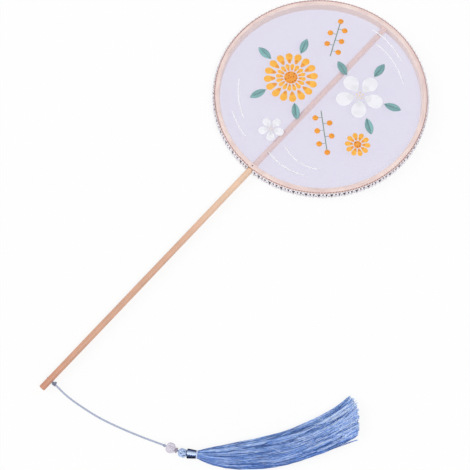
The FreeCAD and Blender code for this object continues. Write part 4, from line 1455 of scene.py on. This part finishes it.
class FAN_OT_skirt(Operator):
    """Loose threads of the tassel, in crossing strands over a closed core"""

    bl_idname = "fan.skirt"
    bl_label = "Skirt"

    def execute(self, context):
        sizes = context.scene.tassel_sizes
        colours = context.scene.fan_colours
        rng = np.random.default_rng(5)
        # The core is painted dark: painted shade inside the skirt.
        core_painted_shade = 0.12
        axis = heading(np.array(sizes.tassel_heading))
        reach = sizes.button_diameter / 2 - sizes.collar_bite + sizes.collar_length
        self.neck = BUTTON + axis * reach
        self.axis = axis
        threads, shade, along, own_lie = self.threads(sizes, rng)
        core = self.core(sizes)

        def whole(of_threads, of_core):
            """Values of the threads' points and then of the core's."""
            return np.concatenate([capped_values(of_threads, threads), capped_values(of_core, core)])

        shades = whole(shade, core_painted_shade)
        lies = np.stack([whole(along, 0.0), whole(own_lie, 0.0), np.zeros_like(shades)], -1)
        values = {"shade": shades, "lie": lies}
        silk = thread(
            "skirt_thread", colours.skirt, roughness=0.34, fibre=190.0, deep=colours.skirt_deep, tone_and_painted_sheen=1.3,
            light=colours.skirt_light, lie="lie", Sheen_Weight=0.05, Specular_IOR_Level=0.35,
        )
        shape = joined(capped(threads), capped(core))
        put("loose_thread_skirt", shape, silk, "tassel", ["tassel_skirt"], values, sharp=80)
        return {"FINISHED"}

    def section(self, share, sizes):
        """Half width and half thickness of the skirt at shares of its length: a belly that fills out as an
        exponential, a flare as a power towards the fringe, and a thickness that fills and thins."""
        belly_fills = 0.19
        thickness_fills = 0.06
        share = np.clip(share, 0, None)
        belly = 1 - np.exp(-share / belly_fills)
        width = sizes.neck_width + sizes.belly_width * belly + sizes.flare_width * share ** 6
        fill = 1 - np.exp(-share / thickness_fills)
        thickness = sizes.neck_width + sizes.belly_thickness * fill - sizes.fringe_thinning * share ** 1.4
        return width / 2, thickness / 2

    def place(self, share, across, upward, sizes):
        """Points of the skirt by shares of a thread's length, and offsets in shares of its half width and
        half thickness. A thread lies on an arc about the bend's centre, as far out as its offset says, so
        threads of one length reach less far round the outside. The middle sinks from the collar's height
        to the table."""
        sinks = 0.05
        half_width, half_thickness = self.section(share, sizes)
        radius = sizes.skirt_bend + across * half_width
        lean = sizes.skirt_length * share / radius
        left = np.cross(UP, self.axis)
        spoke = np.sin(lean)[..., None] * self.axis - np.cos(lean)[..., None] * left
        rest = half_thickness + sizes.table_gap
        sink = 1 - np.exp(-np.clip(share, 0, None) / sinks)
        height = self.neck[2] + (rest - self.neck[2]) * sink + upward * half_thickness
        level = self.neck * (1, 1, 0) + sizes.skirt_bend * left + radius[..., None] * spoke
        return level + height[..., None] * UP

    def threads(self, sizes, rng):
        """Thin three-sided tubes in strands. A strand starts inside the collar at its own place round the
        section and wanders across its neighbours in two sines, and its threads keep near it. On the inside
        of the bend they are shorter, by a power of their offset. Strands and threads have tones, and a
        painted sheen gleams and fades along them. Deep ones, those at the sides and most of all those
        outside the bend are darker with painted shade, and the fringe is paler. Gives the points, their
        shades, their distances along the threads and a number for each thread."""
        pale_above = 0.82
        dark_below = 0.16
        stray_strands = (3, 4, 5)
        stray_reach = 0.24
        stray_start = 0.76
        strands = sizes.skirt_strands
        total = strands * sizes.strand_threads
        strand = np.repeat(np.arange(strands), sizes.strand_threads)
        around = (np.arange(strands) + rng.random(strands)) * TURN / strands
        lot = rng.random(strands)
        accent = 1.0 * (lot > pale_above) - 1.0 * (lot < dark_below)
        depth = np.where(accent, 1.0, 0.97 - 0.33 * rng.random(strands) ** 1.5)
        own_angle = (around[strand] + 0.04 * rng.standard_normal(total))[:, None]
        own_depth = np.clip(depth[strand] + 0.015 * rng.standard_normal(total), 0.5, 1.02)[:, None]
        inside = np.clip(-own_depth * np.cos(own_angle), 0, 1) ** 1.5
        uneven = 0.005 * rng.standard_normal(strands)[strand] + 0.006 * rng.standard_normal(total)
        ends = 0.996 - 0.06 * inside + np.clip(uneven, -0.04, 0.02)[:, None]
        way = np.concatenate([[-0.012, 0.0, 0.025, 0.06], np.linspace(0.1, 1, 13)])
        share = np.where(way > 0, way * ends, way)
        loosened = np.clip(share, 0, None) / (np.clip(share, 0, None) + 0.15)

        def wave(sway, least, spread):
            """Sine along each strand, with a sway, a pace and a start of its own."""
            pace = least + spread * rng.random(strands)
            start = TURN * rng.random(strands)
            return sway[strand][:, None] * np.sin(share * pace[strand][:, None] + start[strand][:, None])

        slow = wave(0.08 * rng.standard_normal(strands), 2, 3)
        quick = wave(0.17 * rng.standard_normal(strands), 8, 8)
        # Painted sheen: a sine of tone along each strand.
        tone_and_painted_sheen = wave(np.full(strands, 0.2), 12, 14)
        angle = own_angle + loosened * (slow + quick)
        near_end = np.clip((share - stray_start) / (1 - stray_start), 0, 1)
        stray = stray_reach * near_end ** 1.4 * np.isin(strand, stray_strands)[:, None]
        radial = own_depth * (1 + 0.04 * np.sin(share * 17 + 9 * own_angle)) + stray
        path = self.place(share, radial * np.cos(angle), radial * np.sin(angle), sizes)
        path[..., 2] = np.maximum(path[..., 2], sizes.thread_diameter * 0.6)
        outline = oval(sizes.thread_diameter / 2, sizes.thread_diameter / 2, 3)
        points = tube(path, outline, UP)
        strand_tone = 0.1 * rng.standard_normal(strands) + 0.28 * accent
        tone = (strand_tone[strand] + 0.25 * rng.standard_normal(total))[:, None]
        # Painted shade: darker for deep threads, for those at the sides, and most of all for those outside
        # the bend.
        painted_shade = 0.5 * (1 - own_depth) + 0.16 * np.cos(own_angle) ** 6 + 0.09 * np.cos(own_angle)
        shade = np.clip(0.375 + tone + tone_and_painted_sheen - painted_shade + 0.48 * share ** 4, 0, 1)
        along = share * sizes.skirt_length
        return points, shade[..., None], along[..., None], rng.random((total, 1, 1))

    def core(self, sizes):
        """Closed body under the threads, at seven tenths of their section."""
        fill = 0.7
        angle = even_angles(40)
        share = np.concatenate([[-0.01], np.linspace(0.0, 0.87, 30)])
        across = -fill * np.cos(angle)
        upward = fill * np.sin(angle)
        return self.place(*np.broadcast_arrays(share[:, None], across, upward), sizes)[None]


class FAN_OT_stage(Operator):
    """White floor and surroundings, soft light from above and from the left, and the camera"""

    bl_idname = "fan.stage"
    bl_label = "Stage"

    def execute(self, context):
        scene = context.scene
        scene.view_settings.view_transform = "Standard"
        stage = scene.stage_sizes
        turn = stage.azimuth
        rise = stage.elevation
        right = np.array([math.cos(turn), math.sin(turn), 0.0])
        back = np.array([math.sin(turn) * math.cos(rise), -math.cos(turn) * math.cos(rise), math.sin(rise)])
        up = np.cross(back, right)
        aim = FACE_CENTRE * (1, 1, 0) + UP * HOOP_DEPTH
        place = aim - stage.aim_right * right - stage.aim_up * up + stage.distance * back
        lens = bpy.data.cameras.new("camera")
        lens.lens = stage.lens
        lens.sensor_width = 36
        lens.clip_end = 20
        camera = self.set_up("camera", lens, right, up, back, place)
        scene.camera = camera
        self.floor(stage)
        forward = np.cross(UP, right)
        for name, (across, away, above), strength, degrees in LAMPS:
            self.lamp(name, across * right + away * forward + above * UP, strength, degrees)
        self.surroundings(scene)
        return {"FINISHED"}

    def lamp(self, name, toward, strength, degrees):
        """Distant lamp in a direction, as wide in the sky as the angle says."""
        toward = unit(toward)
        side = unit(np.cross(FORWARD, toward))
        light = bpy.data.lights.new(name, "SUN")
        light.energy = strength
        light.angle = math.radians(degrees)
        self.set_up(name, light, side, np.cross(toward, side), toward, toward)

    def set_up(self, name, data, x, y, z, place):
        """Camera or lamp with its axes along three directions."""
        thing = bpy.data.objects.new(name, data)
        bpy.context.scene.collection.objects.link(thing)
        columns = np.stack([x, y, z, place], -1).tolist()
        thing.matrix_world = Matrix(columns + [[0.0, 0.0, 0.0, 1.0]])
        return thing

    def seen(self, tree):
        """One for camera, glossy and transmission rays, and nothing for the light that falls on things."""
        rays = node(tree, "ShaderNodeLightPath", {}, "Is Camera Ray").node.outputs
        glossy = sum_of(tree, "MAXIMUM", rays["Is Glossy Ray"], rays["Is Transmission Ray"])
        return sum_of(tree, "MAXIMUM", rays["Is Camera Ray"], glossy)

    def floor(self, stage):
        """Flat grid below the fan. What is seen is mostly even white, and the rest takes the shadow."""
        steps = 5
        level = -0.00005
        even_white = 0.86
        reach = np.linspace(-0.5, 0.5, steps) * stage.floor
        x, y = np.meshgrid(reach, reach)
        points = np.stack([x, y, np.full_like(x, level)], -1).reshape(-1, 3)
        mesh = bpy.data.meshes.new("floor")
        mesh.from_pydata(points.tolist(), [], grid_quads(steps, steps).tolist())
        material = bpy.data.materials.new("white_floor")
        material.use_nodes = True
        tree = material.node_tree
        tree.nodes.clear()
        paper = node(tree, "ShaderNodeBsdfDiffuse", {"Color": (0.93, 0.93, 0.93, 1.0)}, "BSDF")
        glow = node(tree, "ShaderNodeEmission", {"Strength": 1.0}, "Emission")
        share = sum_of(tree, "MULTIPLY", self.seen(tree), even_white)
        mixed = node(tree, "ShaderNodeMixShader", {0: share, 1: paper, 2: glow}, "Shader")
        output = tree.nodes.new("ShaderNodeOutputMaterial")
        tree.links.new(mixed, output.inputs["Surface"])
        mesh.materials.append(material)
        floor = bpy.data.objects.new("floor", mesh)
        bpy.context.scene.collection.objects.link(floor)

    def surroundings(self, scene):
        """Even white to the eye, and a softer fill for what is lit."""
        fill = 0.57
        world = bpy.data.worlds.new("studio")
        world.use_nodes = True
        tree = world.node_tree
        background = tree.nodes["Background"]
        background.inputs["Color"].default_value = (1.0, 1.0, 1.0, 1.0)
        strength = sum_of(tree, "MULTIPLY_ADD", self.seen(tree), 1 - fill, fill)
        tree.links.new(strength, background.inputs["Strength"])
        scene.world = world


STEPS = (
    FAN_OT_stage,
    FAN_OT_beads,
    FAN_OT_neck,
    FAN_OT_skirt,
    FAN_OT_cord,
    FAN_OT_hoop,
    FAN_OT_handle,
    FAN_OT_gauze,
    FAN_OT_trim,
    FAN_OT_flowers,
    FAN_OT_leaves,
    FAN_OT_mist,
)


class FAN_PT_parts(Panel):
    """Buttons for the fan's pieces"""

    bl_label = "Round gauze fan"
    bl_idname = "FAN_PT_parts"
    bl_space_type = "VIEW_3D"
    bl_region_type = "UI"
    bl_category = "Fan"

    def draw(self, context):
        for step in STEPS:
            self.layout.operator(step.bl_idname)


GROUPS = {
    "fan_sizes": FanSizes,
    "stitch_sizes": StitchSizes,
    "tassel_sizes": TasselSizes,
    "fan_colours": FanColours,
    "stage_sizes": StageSizes,
}


def register():
    """Makes the sizes, the operators and the panel known."""
    for name, group in GROUPS.items():
        bpy.utils.register_class(group)
        setattr(bpy.types.Scene, name, PointerProperty(type=group))
    for step in STEPS:
        bpy.utils.register_class(step)
    bpy.utils.register_class(FAN_PT_parts)


def unregister():
    """Takes them away again."""
    bpy.utils.unregister_class(FAN_PT_parts)
    for step in reversed(STEPS):
        bpy.utils.unregister_class(step)
    for name, group in GROUPS.items():
        delattr(bpy.types.Scene, name)
        bpy.utils.unregister_class(group)


def main():
    """Makes every piece in order."""
    register()
    bpy.ops.fan.stage()
    bpy.ops.fan.beads()
    bpy.ops.fan.neck()
    bpy.ops.fan.skirt()
    bpy.ops.fan.cord()
    bpy.ops.fan.hoop()
    bpy.ops.fan.handle()
    bpy.ops.fan.gauze()
    bpy.ops.fan.trim()
    bpy.ops.fan.flowers()
    bpy.ops.fan.leaves()
    bpy.ops.fan.mist()


if __name__ == "__main__":
    main()
